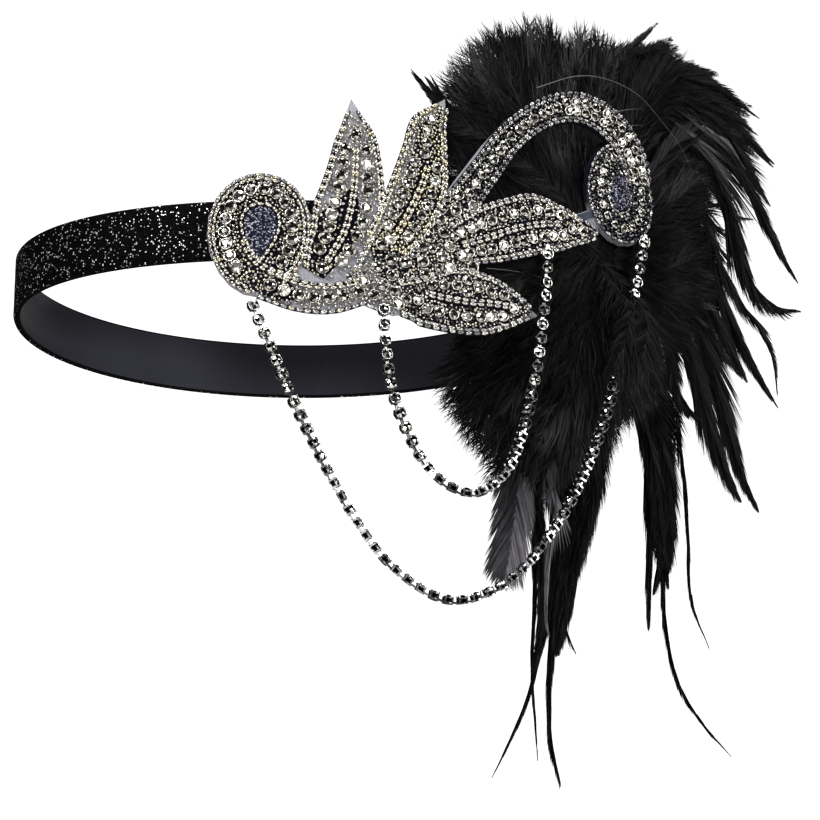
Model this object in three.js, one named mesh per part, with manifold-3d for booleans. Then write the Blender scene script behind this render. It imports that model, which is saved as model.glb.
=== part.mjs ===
// Flapper headband: a glitter ribbon loop, a beaded felt applique of leaves and scrolls, two
// hanging cup chains and a plume of black feathers. Millimetres, +Z up. The origin is the centre
// of the loop at mid height, the ornament is on the -Y side and the plume reaches towards +X.
// The ornament is drawn flat, as s along the loop, z up and depth out of the face, and then bent
// round an upright cylinder.
import * as THREE from "three";
import { mergeVertices } from "three/addons/utils/BufferGeometryUtils.js";
import Module from "manifold-3d";

const wasm = await Module();
wasm.setup();

// Clearance between neighbouring pieces
const GAP = 0.3;
// Distance within which two corners are one
const WELD = 1e-4;

// Ribbon loop: half length, depths of the worn side and of the far side, and its two layers
const BAND_HEIGHT = 20;
const LOOP_HALF_LENGTH = 95;
const LOOP_NEAR_DEPTH = 64;
const LOOP_FAR_DEPTH = 80;
const LOOP_NEAR_POWER = 2.24;
const LOOP_STEPS = 56;
const RIBBON = 1;

// Bend of the ornament, measured at the back of the felt
const BEND_RADIUS = 185;
const BEND_LIMIT = THREE.MathUtils.degToRad(40);
const BAND_TO_FELT = 0.65;
const BEND_CENTRE_Y = BEND_RADIUS - LOOP_NEAR_DEPTH - GAP / 2 - RIBBON - BAND_TO_FELT;
const BEND_STEP = 16;

// Felt, beadwork and stones
const FELT = 1.6;
const BEADWORK = 1;
const BEADWORK_BACK = FELT + GAP;
const FELT_BORDER = 1.3;
const FELT_TIP = 2.4;
const FELT_FOOT = 8;
const TIP_SHARE = 0.3;
const EDGE_STEPS = 10;
const STONE = { girdle: 2.2, table: 1.25, rise: 1.3, root: 0.4, facets: 8, pitch: 5.3 };
const STONE_SEARCH_STEPS = 200;
const PAIR_MIN_WIDTH = 4.95;
const SINGLE_MIN_WIDTH = 2.7;

// Leaves: midrib and the beadwork's width on either side of it, from base to tip
const LEAVES = {
  leaf_1: [
    { s: 8.5, z: -17, left: 3.5, right: 4 },
    { s: 15.1, z: -8.5, left: 6.6, right: 6.6 },
    { s: 18.6, z: 2, left: 8.8, right: 7.4 },
    { s: 20.8, z: 14, left: 8.6, right: 7.5 },
    { s: 21.3, z: 24, left: 6.3, right: 6.5 },
    { s: 20.8, z: 35, left: 2.9, right: 3 },
    { s: 20, z: 42, left: 0.5, right: 0.5 },
  ],
  leaf_2: [
    { s: 32, z: -6.5, left: 5, right: 4.5 },
    { s: 35.5, z: 0, left: 6.6, right: 6.6 },
    { s: 39.2, z: 7.5, left: 7.9, right: 7.4 },
    { s: 43.1, z: 17, left: 8.7, right: 6.4 },
    { s: 45.7, z: 28, left: 7.7, right: 4.2 },
    { s: 47.6, z: 37.5, left: 6.2, right: 2 },
    { s: 49.8, z: 44.6, left: 0.5, right: 0.5 },
  ],
  leaf_3: [
    { s: 55, z: -4, left: 6.5, right: 4.5 },
    { s: 66, z: 0.6, left: 8.6, right: 6.2 },
    { s: 74.5, z: 4.6, left: 8.8, right: 7.6 },
    { s: 83.6, z: 7.6, left: 8.6, right: 7.4 },
    { s: 93, z: 9.2, left: 4.7, right: 6.2 },
    { s: 103.5, z: 8.8, left: 0.5, right: 0.5 },
  ],
  leaf_4: [
    { s: 35, z: -21.6, left: 2.4, right: 5.6 },
    { s: 41.5, z: -21, left: 4.4, right: 8.4 },
    { s: 49.7, z: -22.3, left: 8, right: 9.3 },
    { s: 58, z: -23, left: 9.8, right: 9.3 },
    { s: 66, z: -22.6, left: 7, right: 8.5 },
    { s: 74, z: -23, left: 3.6, right: 4.6 },
    { s: 79.5, z: -23.8, left: 0.5, right: 0.5 },
  ],
};

// Bands of beadwork: the left scroll's tail, the field in the middle and the arch
const TAIL = [
  { s: -8, z: -19.5, left: 3.8, right: 3.8 },
  { s: 4, z: -24, left: 3.6, right: 3.6 },
  { s: 14, z: -24.6, left: 3.4, right: 3.4 },
  { s: 24, z: -21.8, left: 2.8, right: 2.8 },
];
const CENTRE = [
  { s: 22.5, z: -15, left: 2.8, right: 2.8 },
  { s: 32, z: -14.8, left: 4.2, right: 4.2 },
  { s: 42, z: -10.4, left: 5.1, right: 5.1 },
  { s: 50, z: -3.5, left: 5, right: 5 },
];
const ARCH = [
  { s: 57, z: 13.5, left: 4.6, right: 4.4 },
  { s: 64.2, z: 24.5, left: 4, right: 4 },
  { s: 74.5, z: 39, left: 3.7, right: 3.7 },
  { s: 89, z: 49.8, left: 3.6, right: 3.6 },
  { s: 102, z: 52.6, left: 4.1, right: 4.1 },
  { s: 114, z: 48.5, left: 4.6, right: 4.6 },
  { s: 121.4, z: 40, left: 4.6, right: 4.6 },
  { s: 124.2, z: 31, left: 4.2, right: 4.2 },
];
// Plain felt that joins the bases of the leaves
const WEB = [
  { s: 2, z: -17, left: 4, right: 4 },
  { s: 22, z: -14, left: 5, right: 9 },
  { s: 36, z: -9, left: 8, right: 14 },
  { s: 50, z: -4, left: 12, right: 16 },
  { s: 60, z: -2, left: 10, right: 8 },
];
// Plain felt in the clefts: left and right of the first leaf, and from the tail to the fourth leaf
const HEMS = [
  [
    { s: 4, z: -14, left: 4, right: 4 },
    { s: 7.2, z: 4, left: 1.5, right: 1.5 },
  ],
  [
    { s: 23, z: -12, left: 2, right: 2 },
    { s: 28.4, z: 6, left: 1.5, right: 1.5 },
  ],
  [
    { s: 24, z: -21.9, left: 2.8, right: 2.8 },
    { s: 31, z: -22.1, left: 3, right: 5 },
    { s: 37, z: -21.7, left: 3, right: 6 },
  ],
];
// Felt neck between the third leaf and the right scroll
const NECK = [
  { s: 97, z: 10.5, left: 1.6, right: 1.6 },
  { s: 107, z: 15.5, left: 1.6, right: 1.6 },
];

// Scrolls: egg-shaped, with a teardrop inlay at the heart
const SCROLL_LEFT = { s: -9.5, z: -2.6, wide: 15.5, high: 19.9, taper: 0.08 };
const SCROLL_RIGHT = { s: 116, z: 25.5, wide: 13, high: 17, taper: -0.06 };
const INLAY_LEFT = { s: -9, z: -2.4, wide: 7, high: 9, point: -1 };
const INLAY_RIGHT = { s: 115.4, z: 26, wide: 5.3, high: 6.8, point: 1 };
const SCROLL_STEPS = 20;
const INLAY_STEPS = 14;
// Stones round the left scroll: angles in degrees and their place between heart and rim
const SCROLL_STONES = { from: -55, to: 245, count: 15, ring: 0.67 };

// Cup chains: where the two ends are sewn to the felt's edge, the links between them, and the
// stiff curve in which they hang, as distance along the level line and height
const CHAINS = {
  chain_inner: {
    left: { s: 29.9, z: -26.2 },
    right: { s: 85.3, z: -0.8 },
    links: 34,
    bends: [
      { along: 2.4, z: -52 },
      { along: 8.4, z: -69 },
      { along: 17, z: -82 },
      { along: 29, z: -87 },
      { along: 39.5, z: -81 },
      { along: 46.5, z: -66 },
      { along: 51.5, z: -45 },
      { along: 54.6, z: -22 },
    ],
  },
  chain_outer: {
    left: { s: -11.6, z: -25.6 },
    right: { s: 124.5, z: 11 },
    links: 57,
    bends: [
      { along: 15.5, z: -60 },
      { along: 33.5, z: -93 },
      { along: 48, z: -110.5 },
      { along: 67, z: -119.5 },
      { along: 87, z: -111 },
      { along: 105, z: -88 },
      { along: 118.5, z: -59 },
      { along: 127, z: -29 },
    ],
  },
};
const CHAIN_DEPTH = 4.1;
const LINK = { width: 4.1, depth: 2.8, neck: 0.9 };
// Sections of one link along the chain: the neck swells to the cup's full size and narrows again
const LINK_SECTIONS = [
  { at: -2, size: LINK.neck },
  { at: -1.2, size: LINK.width },
  { at: 1.2, size: LINK.width },
  { at: 2, size: LINK.neck },
];

// Plume: a head of bound quills for each bunch, one behind the other, and a felt disc behind them
const HEAD = { s: 108, z: 2, wide: 9, high: 8, thick: 2, sides: 12 };
const FIRST_HEAD_DEPTH = -GAP - HEAD.thick;
const HEAD_GAP = 0.6;
const HEAD_STEP = HEAD.thick + HEAD_GAP;
const PAD = { s: 108, z: 0, wide: 9, high: 6, thick: 1.2 };
const ROOT_REACH = 0.72;

// Fluff: a fan of soft locks side by side; each tip with its depth behind the felt
const FLUFF = { thick: 3.8, notch: 0.76, columns: 3, rows: 4, start: 0.02, span: 0.92, valley: 0.4 };
const FLUFFS = {
  plume_fluff_lower: {
    layer: 0,
    tips: [
      { s: 60, z: -38, depth: -13 },
      { s: 53, z: -50, depth: -14 },
      { s: 57, z: -66, depth: -14 },
      { s: 69, z: -78, depth: -13 },
      { s: 84, z: -82, depth: -12 },
      { s: 99, z: -80, depth: -11 },
      { s: 114, z: -72, depth: -12 },
      { s: 128, z: -62, depth: -12 },
      { s: 138, z: -46, depth: -12 },
      { s: 144, z: -26, depth: -12 },
    ],
  },
  plume_fluff_top: {
    layer: 3,
    tips: [
      { s: 188, z: 84, depth: -17 },
      { s: 175, z: 95, depth: -17 },
      { s: 160, z: 100, depth: -17 },
      { s: 146, z: 101, depth: -17 },
      { s: 132, z: 98, depth: -17 },
      { s: 118, z: 97, depth: -17 },
      { s: 103, z: 96, depth: -17 },
      { s: 88, z: 94, depth: -17 },
      { s: 74, z: 89, depth: -17 },
      { s: 61, z: 79, depth: -17 },
      { s: 52, z: 70, depth: -17 },
      { s: 45, z: 62, depth: -17 },
    ],
  },
};

// Loose feathers: single strips, each tip with its depth, the bow of its quill and its half width
const STRIP = { sides: 4, steps: 7 };
const STRIPS = {
  plume_fan_right: {
    layer: 1, thick: 1.2, belly: 0.5, dip: 1,
    tips: [
      { s: 200, z: 82, depth: -6, sway: -22, width: 6 },
      { s: 209, z: 65, depth: -6, sway: -25, width: 6 },
      { s: 205, z: 50, depth: -7, sway: -22, width: 6 },
      { s: 220, z: 22, depth: -8, sway: -34, width: 4 },
      { s: 220, z: 10, depth: -10, sway: -28, width: 4 },
      { s: 206, z: -24, depth: -15, sway: -32, width: 4 },
      { s: 192, z: -22, depth: -15, sway: -16, width: 5 },
      { s: 195, z: -69, depth: -21, sway: -16, width: 5 },
      { s: 184, z: -66, depth: -21, sway: -8, width: 5 },
      { s: 161, z: -42, depth: -21, sway: -6, width: 5 },
    ],
  },
  plume_tails: {
    layer: 2, thick: 1.2, belly: 0.55, dip: 1.3,
    tips: [
      { s: 85, z: -112, depth: -28, sway: 9, width: 7 },
      { s: 79, z: -171, depth: -28, sway: -10, width: 3 },
      { s: 99, z: -164, depth: -28, sway: 2, width: 3 },
      { s: 108, z: -169, depth: -28, sway: 2, width: 3 },
      { s: 118, z: -127, depth: -28, sway: -11, width: 4 },
      { s: 152, z: -114, depth: -28, sway: -12, width: 4 },
      { s: 161, z: -99, depth: -28, sway: -12, width: 4 },
      { s: 190, z: -152, depth: -28, sway: 5, width: 3 },
      { s: 182, z: -116, depth: -28, sway: -19, width: 3 },
    ],
  },
};

// Colour, roughness and metalness of each finish
const FINISHES = {
  glitter: { color: 0x17161a, roughness: 0.55, metalness: 0.2 },
  ribbon: { color: 0x26282e, roughness: 0.6, metalness: 0 },
  felt: { color: 0x9c9cab, roughness: 0.9, metalness: 0 },
  inlay: { color: 0x3c3a50, roughness: 0.6, metalness: 0.1 },
  beadwork: { color: 0xc9c6bb, roughness: 0.2, metalness: 0.6 },
  chain: { color: 0xd2d2d6, roughness: 0.2, metalness: 0.9 },
  feather: { color: 0x120f12, roughness: 0.6, metalness: 0 },
};

const group = new THREE.Group();

// Mesh with its own material, added under its node name
function addPiece(name, geometry, finish) {
  const mesh = new THREE.Mesh(geometry, new THREE.MeshStandardMaterial(FINISHES[finish]));
  mesh.name = name;
  group.add(mesh);
}

// Solid for joining and cutting, made from a closed geometry
function toSolid(geometry) {
  const bare = geometry.clone();
  bare.deleteAttribute("normal");
  bare.deleteAttribute("uv");
  const merged = mergeVertices(bare, WELD);
  const vertProperties = Float32Array.from(merged.attributes.position.array);
  const triVerts = Uint32Array.from(merged.index.array);
  return new wasm.Manifold(new wasm.Mesh({ numProp: 3, vertProperties, triVerts }));
}

function joinAll(solids) {
  return solids.reduce((whole, solid) => whole.add(solid));
}

// Geometry of a solid
function toGeometry(solid) {
  const mesh = solid.getMesh();
  const geometry = new THREE.BufferGeometry();
  geometry.setAttribute("position", new THREE.BufferAttribute(Float32Array.from(mesh.vertProperties), 3));
  geometry.setIndex(Array.from(mesh.triVerts));
  return geometry;
}

// Halves each edge that runs further along s than the bend step, until none does
function refineAlongBend(geometry) {
  const points = [];
  const position = geometry.attributes.position;
  for (let i = 0; i < position.count; i += 1) {
    points.push(new THREE.Vector3().fromBufferAttribute(position, i));
  }
  let triangles = [];
  for (let i = 0; i < geometry.index.count; i += 3) {
    triangles.push([0, 1, 2].map((corner) => geometry.index.getX(i + corner)));
  }
  const middles = new Map();
  const middle = (a, b) => {
    if (Math.abs(points[a].x - points[b].x) <= BEND_STEP) return -1;
    const key = a < b ? `${a} ${b}` : `${b} ${a}`;
    if (!middles.has(key)) {
      middles.set(key, points.push(points[a].clone().add(points[b]).multiplyScalar(0.5)) - 1);
    }
    return middles.get(key);
  };
  let before = 0;
  while (triangles.length !== before) {
    before = triangles.length;
    triangles = triangles.flatMap((triangle) => splitTriangle(triangle, middle));
  }
  const refined = new THREE.BufferGeometry().setFromPoints(points);
  refined.setIndex(triangles.flat());
  return refined;
}

// Splits a triangle at the middles of those of its edges that have one
function splitTriangle([a, b, c], middle) {
  const middles = [middle(a, b), middle(b, c), middle(c, a)];
  const count = middles.filter((index) => index >= 0).length;
  if (count === 0) return [[a, b, c]];
  const [ab, bc, ca] = middles;
  if (count === 3) return [[a, ab, ca], [ab, b, bc], [ca, bc, c], [ab, bc, ca]];
  if (count === 1) {
    if (ab >= 0) return [[a, ab, c], [ab, b, c]];
    if (bc >= 0) return [[a, b, bc], [a, bc, c]];
    return [[a, b, ca], [ca, b, c]];
  }
  if (ab < 0) return [[c, ca, bc], [ca, a, b], [ca, b, bc]];
  if (bc < 0) return [[a, ab, ca], [ab, b, c], [ab, c, ca]];
  return [[b, bc, ab], [bc, c, a], [bc, a, ab]];
}

// Point of the ornament: round the cylinder up to the bend's limit, and straight on past it
function bendPoint(s, z, depth) {
  const angle = Math.min(s / BEND_RADIUS, BEND_LIMIT);
  const straight = s - angle * BEND_RADIUS;
  const radius = BEND_RADIUS + depth;
  return new THREE.Vector3(
    radius * Math.sin(angle) + straight * Math.cos(angle),
    BEND_CENTRE_Y - radius * Math.cos(angle) + straight * Math.sin(angle),
    z,
  );
}

// Bends a flat geometry whose x, y and z are s, height and depth
function bendGeometry(geometry) {
  const position = geometry.attributes.position;
  for (let i = 0; i < position.count; i += 1) {
    const bent = bendPoint(position.getX(i), position.getY(i), position.getZ(i));
    position.setXYZ(i, bent.x, bent.y, bent.z);
  }
  geometry.computeVertexNormals();
  return geometry;
}

function addBentPiece(name, solid, finish) {
  addPiece(name, bendGeometry(refineAlongBend(toGeometry(solid))), finish);
}

// Ribbon loop
function loopOutline(offset) {
  const points = [];
  for (let i = 0; i < LOOP_STEPS; i += 1) {
    const turn = (2 * Math.PI * i) / LOOP_STEPS;
    const cosine = Math.cos(turn);
    const sine = Math.sin(turn);
    const near = sine < 0;
    const power = near ? 2 / LOOP_NEAR_POWER : 1;
    const depth = (near ? LOOP_NEAR_DEPTH : LOOP_FAR_DEPTH) + offset;
    points.push(new THREE.Vector2(
      (LOOP_HALF_LENGTH + offset) * Math.sign(cosine) * Math.abs(cosine) ** power,
      depth * Math.sign(sine) * Math.abs(sine) ** power,
    ));
  }
  return points;
}

function addRibbon(name, inside, finish) {
  const shape = new THREE.Shape(loopOutline(inside + RIBBON));
  shape.holes.push(new THREE.Path(loopOutline(inside)));
  const geometry = new THREE.ExtrudeGeometry(shape, { depth: BAND_HEIGHT, bevelEnabled: false });
  geometry.translate(0, 0, -BAND_HEIGHT / 2);
  addPiece(name, geometry, finish);
}

// Flat plate of an outline, from one depth to another
function plate(outline, back, thickness) {
  const geometry = new THREE.ExtrudeGeometry(new THREE.Shape(outline), {
    depth: thickness,
    bevelEnabled: false,
  });
  geometry.translate(0, 0, back);
  return toSolid(geometry);
}

// Stations along a row table: place, direction and the width on either side
function stations(rows, steps) {
  const left = new THREE.CatmullRomCurve3(rows.map((row) => new THREE.Vector3(row.s, row.z, row.left)));
  const right = new THREE.CatmullRomCurve3(rows.map((row) => new THREE.Vector3(row.s, row.z, row.right)));
  return Array.from({ length: steps + 1 }, (unused, i) => {
    const at = left.getPoint(i / steps);
    const tangent = left.getTangent(i / steps);
    const along = new THREE.Vector2(tangent.x, tangent.y).normalize();
    const place = new THREE.Vector2(at.x, at.y);
    return { place, along, left: at.z, right: right.getPoint(i / steps).z };
  });
}

// Point beside a station, positive to its left
function beside(station, offset) {
  const side = new THREE.Vector2(-station.along.y, station.along.x);
  return station.place.clone().addScaledVector(side, offset);
}

// Outline of a row table, grown at its sides and lengthened at its ends
function rowOutline(rows, grow, foot, tip) {
  const line = stations(rows, EDGE_STEPS);
  line[0].place.addScaledVector(line[0].along, -foot);
  line.at(-1).place.addScaledVector(line.at(-1).along, tip);
  const margins = line.map((station, i) => (i === EDGE_STEPS ? grow * TIP_SHARE : grow));
  const leftSide = line.map((station, i) => beside(station, station.left + margins[i]));
  const rightSide = line.map((station, i) => beside(station, -station.right - margins[i]));
  return [...rightSide, ...leftSide.reverse()];
}

function eggOutline(egg, scale, grow, steps) {
  return Array.from({ length: steps }, (unused, i) => eggPoint(egg, scale, grow, (2 * Math.PI * i) / steps));
}

function eggPoint(egg, scale, grow, turn) {
  const wide = (egg.wide * scale + grow) * (1 + egg.taper * Math.sin(turn));
  return new THREE.Vector2(
    egg.s + wide * Math.cos(turn),
    egg.z + (egg.high * scale + grow) * Math.sin(turn),
  );
}

// Teardrop with its point up or down
function teardropOutline(drop, grow) {
  return Array.from({ length: INLAY_STEPS }, (unused, i) => {
    const turn = (2 * Math.PI * i) / INLAY_STEPS;
    const wide = (drop.wide + grow) * Math.sin(turn) * Math.sin(turn / 2);
    return new THREE.Vector2(
      drop.s - drop.point * wide,
      drop.z + drop.point * (drop.high + grow) * Math.cos(turn),
    );
  });
}

// Felt base: every element grown by the border, joined into one sheet
function addFelt() {
  const outlines = [
    ...Object.values(LEAVES).map((rows) => rowOutline(rows, FELT_BORDER, FELT_BORDER, FELT_TIP)),
    ...[TAIL, WEB, NECK, ...HEMS].map((rows) => rowOutline(rows, FELT_BORDER, 0, 0)),
    rowOutline(ARCH, FELT_BORDER, FELT_FOOT, 0),
    eggOutline(SCROLL_LEFT, 1, FELT_BORDER, SCROLL_STEPS),
    eggOutline(SCROLL_RIGHT, 1, FELT_BORDER, SCROLL_STEPS),
  ];
  addBentPiece("applique_base", joinAll(outlines.map((outline) => plate(outline, 0, FELT))), "felt");
}

// Faceted stone set on the beadwork: a table and a ring of facets
function stone(place) {
  const height = STONE.rise + STONE.root;
  const geometry = new THREE.CylinderGeometry(STONE.table, STONE.girdle, height, STONE.facets);
  geometry.rotateX(Math.PI / 2);
  geometry.translate(place.x, place.y, BEADWORK_BACK + BEADWORK - STONE.root + height / 2);
  return toSolid(geometry);
}

// Stone places along a row table: in pairs where it is wide, single where it is narrow
function rowStones(rows) {
  const fine = stations(rows, STONE_SEARCH_STEPS);
  const places = [];
  let travelled = STONE.pitch / 2;
  fine.forEach((station, i) => {
    if (i > 0) travelled += station.place.distanceTo(fine[i - 1].place);
    if (travelled < STONE.pitch) return;
    const narrow = Math.min(station.left, station.right);
    if (narrow > PAIR_MIN_WIDTH) {
      places.push(beside(station, station.left / 2), beside(station, -station.right / 2));
    } else if (narrow > SINGLE_MIN_WIDTH) {
      places.push(beside(station, (station.left - station.right) / 2));
    }
    travelled -= STONE.pitch;
  });
  return places;
}

// Stone places round the left scroll
function scrollStones() {
  const { from, to, count, ring } = SCROLL_STONES;
  return Array.from({ length: count }, (unused, i) => {
    const turn = THREE.MathUtils.degToRad(from + ((to - from) * i) / (count - 1));
    return eggPoint(SCROLL_LEFT, ring, 0, turn);
  });
}

function beadworkPlate(outline) {
  return plate(outline, BEADWORK_BACK, BEADWORK);
}

// Beadwork: a raised field with its stones; neighbours are cut back to leave the clearance
function addBeadwork() {
  const leaves = Object.entries(LEAVES);
  const inlays = { inlay_left: INLAY_LEFT, inlay_right: INLAY_RIGHT };
  for (const [name, drop] of Object.entries(inlays)) {
    addBentPiece(name, beadworkPlate(teardropOutline(drop, 0)), "inlay");
  }
  const leftRing = beadworkPlate(eggOutline(SCROLL_LEFT, 1, 0, SCROLL_STEPS))
    .add(beadworkPlate(rowOutline(TAIL, 0, 0, 0)))
    .subtract(beadworkPlate(teardropOutline(INLAY_LEFT, GAP)));
  const leftStones = [...scrollStones(), ...rowStones(TAIL)];
  addBentPiece("scroll_left_beadwork", joinAll([leftRing, ...leftStones.map(stone)]), "beadwork");

  const rightRing = beadworkPlate(eggOutline(SCROLL_RIGHT, 1, 0, SCROLL_STEPS))
    .add(beadworkPlate(rowOutline(ARCH, 0, 0, 0)))
    .subtract(beadworkPlate(teardropOutline(INLAY_RIGHT, GAP)));
  addBentPiece("arch_beadwork", rightRing, "beadwork");

  for (const [name, rows] of leaves) {
    const field = [beadworkPlate(rowOutline(rows, 0, 0, 0)), ...rowStones(rows).map(stone)];
    addBentPiece(`${name}_beadwork`, joinAll(field), "beadwork");
  }
  const cutters = [...leaves.map((entry) => entry[1]), TAIL]
    .map((rows) => beadworkPlate(rowOutline(rows, GAP, GAP, GAP)));
  const middle = beadworkPlate(rowOutline(CENTRE, 0, 0, 0)).subtract(joinAll(cutters));
  addBentPiece("centre_beadwork", joinAll([middle, ...rowStones(CENTRE).map(stone)]), "beadwork");
}

// Cup chain: square cups on a neck, drawn along a curve in the upright plane of its two ends
function addChain(name, chain) {
  const left = bendPoint(chain.left.s, chain.left.z, CHAIN_DEPTH);
  const right = bendPoint(chain.right.s, chain.right.z, CHAIN_DEPTH);
  const up = new THREE.Vector3(0, 0, 1);
  const level = new THREE.Vector3(right.x - left.x, right.y - left.y, 0).normalize();
  const outward = new THREE.Vector3().crossVectors(level, up);
  const bends = chain.bends.map((bend) => left.clone().addScaledVector(level, bend.along).setZ(bend.z));
  const curve = new THREE.CatmullRomCurve3([left, ...bends, right]);
  const sections = LINK_SECTIONS.length;
  const steps = chain.links * sections - 1;
  const geometry = new THREE.BoxGeometry(1, 1, 1, steps, 1, 1);
  const position = geometry.attributes.position;
  for (let i = 0; i < position.count; i += 1) {
    const station = Math.round((position.getX(i) + 0.5) * steps);
    const section = LINK_SECTIONS[station % sections];
    const travel = (Math.floor(station / sections) + 0.5) / chain.links;
    const along = curve.getTangentAt(travel);
    const across = new THREE.Vector3().crossVectors(outward, along);
    const point = curve.getPointAt(travel).addScaledVector(along, section.at);
    point.addScaledVector(across, position.getY(i) * section.size);
    point.addScaledVector(outward, position.getZ(i) * Math.min(section.size, LINK.depth));
    position.setXYZ(i, point.x, point.y, point.z);
  }
  geometry.computeVertexNormals();
  addPiece(name, geometry, "chain");
}

// Point of the head from which a feather with this tip springs
function rootPoint(tip, depth) {
  const aim = new THREE.Vector2(tip.s - HEAD.s, tip.z - HEAD.z).normalize();
  return new THREE.Vector3(
    HEAD.s + aim.x * HEAD.wide * ROOT_REACH,
    HEAD.z + aim.y * HEAD.high * ROOT_REACH,
    depth,
  );
}

// Feather: a sphere drawn out along a bowed quill from the head to the tip
function strip(bunch, tip, rootDepth) {
  const root = rootPoint(tip, rootDepth);
  const end = new THREE.Vector3(tip.s, tip.z, tip.depth);
  const aim = new THREE.Vector2(end.x - root.x, end.y - root.y).normalize();
  const bow = root.clone().add(end).multiplyScalar(0.5);
  bow.x += 2 * tip.sway * aim.y;
  bow.y -= 2 * tip.sway * aim.x;
  bow.z = tip.depth * bunch.dip;
  const quill = new THREE.QuadraticBezierCurve3(root, bow, end);
  const skew = Math.log(0.5) / Math.log(bunch.belly);
  const geometry = new THREE.SphereGeometry(1, STRIP.sides, STRIP.steps);
  const position = geometry.attributes.position;
  for (let i = 0; i < position.count; i += 1) {
    const t = Math.acos(THREE.MathUtils.clamp(-position.getY(i), -1, 1)) / Math.PI;
    const round = Math.hypot(position.getX(i), position.getZ(i)) || 1;
    const swell = Math.sin(Math.PI * t ** skew);
    const tangent = quill.getTangent(t);
    const across = new THREE.Vector3(tangent.y, -tangent.x, 0).normalize();
    const point = quill.getPoint(t);
    point.addScaledVector(across, (position.getX(i) / round) * tip.width * swell);
    point.z += (position.getZ(i) / round) * bunch.thick * swell;
    position.setXYZ(i, point.x, point.y, point.z);
  }
  return toSolid(geometry);
}

// Fan of soft locks: a thick sheet from the head to the tips, thin and notched between locks
function fluffFan(tips, rootDepth) {
  const columns = (tips.length - 1) * FLUFF.columns;
  const geometry = new THREE.BoxGeometry(1, 1, 1, columns, FLUFF.rows, 1);
  const position = geometry.attributes.position;
  const ends = new THREE.CatmullRomCurve3(tips.map((tip) => new THREE.Vector3(tip.s, tip.z, tip.depth)));
  for (let i = 0; i < position.count; i += 1) {
    const u = 0.5 - position.getX(i);
    const v = position.getY(i) + 0.5;
    const lobe = Math.cos(Math.PI * u * (tips.length - 1)) ** 2;
    const end = ends.getPoint(u);
    const root = rootPoint({ s: end.x, z: end.y }, rootDepth);
    const reach = v * (1 - (1 - FLUFF.notch) * (1 - lobe));
    const point = root.clone().lerp(end, reach);
    point.z = THREE.MathUtils.lerp(rootDepth, end.z, THREE.MathUtils.smoothstep(reach, 0, 1));
    const length = Math.sin(Math.PI * (FLUFF.start + FLUFF.span * v));
    const swell = length * THREE.MathUtils.lerp(FLUFF.valley, 1, lobe);
    point.z += position.getZ(i) * 2 * FLUFF.thick * swell;
    position.setXYZ(i, point.x, point.y, point.z);
  }
  return toSolid(geometry);
}

function ovalPlate(oval, back) {
  const shape = new THREE.Shape();
  shape.absellipse(oval.s, oval.z, oval.wide, oval.high, 0, 2 * Math.PI);
  return plate(shape.getPoints(HEAD.sides / 2), back, oval.thick);
}

function headDepth(layer) {
  return FIRST_HEAD_DEPTH - layer * HEAD_STEP;
}

function addBunch(name, layer, feathers) {
  const head = ovalPlate(HEAD, headDepth(layer));
  addPiece(name, bendGeometry(toGeometry(joinAll([head, ...feathers]))), "feather");
}

function addPlume() {
  for (const [name, fluff] of Object.entries(FLUFFS)) {
    const middle = headDepth(fluff.layer) + HEAD.thick / 2;
    addBunch(name, fluff.layer, [fluffFan(fluff.tips, middle)]);
  }
  for (const [name, bunch] of Object.entries(STRIPS)) {
    const middle = headDepth(bunch.layer) + HEAD.thick / 2;
    addBunch(name, bunch.layer, bunch.tips.map((tip) => strip(bunch, tip, middle)));
  }
  const layers = Object.keys(FLUFFS).length + Object.keys(STRIPS).length;
  addBentPiece("plume_pad", ovalPlate(PAD, headDepth(layers - 1) - GAP - PAD.thick), "inlay");
}

addRibbon("band_backing", -GAP / 2 - RIBBON, "ribbon");
addRibbon("band_glitter_face", GAP / 2, "glitter");
addFelt();
addBeadwork();
for (const [name, chain] of Object.entries(CHAINS)) {
  addChain(name, chain);
}
addPlume();

export default group;
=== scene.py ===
"""Looks of a flapper headband: glitter ribbon, beaded felt applique, cup chains and feather plume."""

import math
from collections import namedtuple

import bmesh
import bpy
import numpy as np
from bpy.props import FloatProperty, FloatVectorProperty, IntProperty, PointerProperty
from bpy.types import Operator, Panel, PropertyGroup
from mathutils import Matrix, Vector


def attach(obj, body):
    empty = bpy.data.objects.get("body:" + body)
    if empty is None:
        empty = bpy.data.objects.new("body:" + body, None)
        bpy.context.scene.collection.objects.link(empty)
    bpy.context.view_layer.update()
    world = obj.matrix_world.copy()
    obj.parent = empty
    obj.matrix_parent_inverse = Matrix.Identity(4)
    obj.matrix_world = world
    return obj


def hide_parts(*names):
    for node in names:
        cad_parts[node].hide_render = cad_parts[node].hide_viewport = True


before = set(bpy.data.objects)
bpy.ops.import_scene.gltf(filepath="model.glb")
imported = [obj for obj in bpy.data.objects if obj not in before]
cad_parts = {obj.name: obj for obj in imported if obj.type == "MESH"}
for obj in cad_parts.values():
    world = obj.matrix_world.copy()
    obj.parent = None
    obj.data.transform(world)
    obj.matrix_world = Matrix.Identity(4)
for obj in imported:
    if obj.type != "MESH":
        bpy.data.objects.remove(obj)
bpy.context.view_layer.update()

bl_info = {
    "name": "Flapper Headband",
    "version": (1, 0, 0),
    "blender": (4, 5, 0),
    "location": "3D View > Sidebar > Headband",
    "description": "Builds the ribbon, beaded applique, cup chains and feather plume of a headband",
    "category": "Object",
}

# Tables are in millimetres, meshes in metres
MM = 0.001
BODY = "root"

# Bend of the ornament round the brow, as the solids have it
BEND_RADIUS = 185.0
BEND_LIMIT = math.radians(40)
BEND_CENTRE_Y = 119.2

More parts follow.
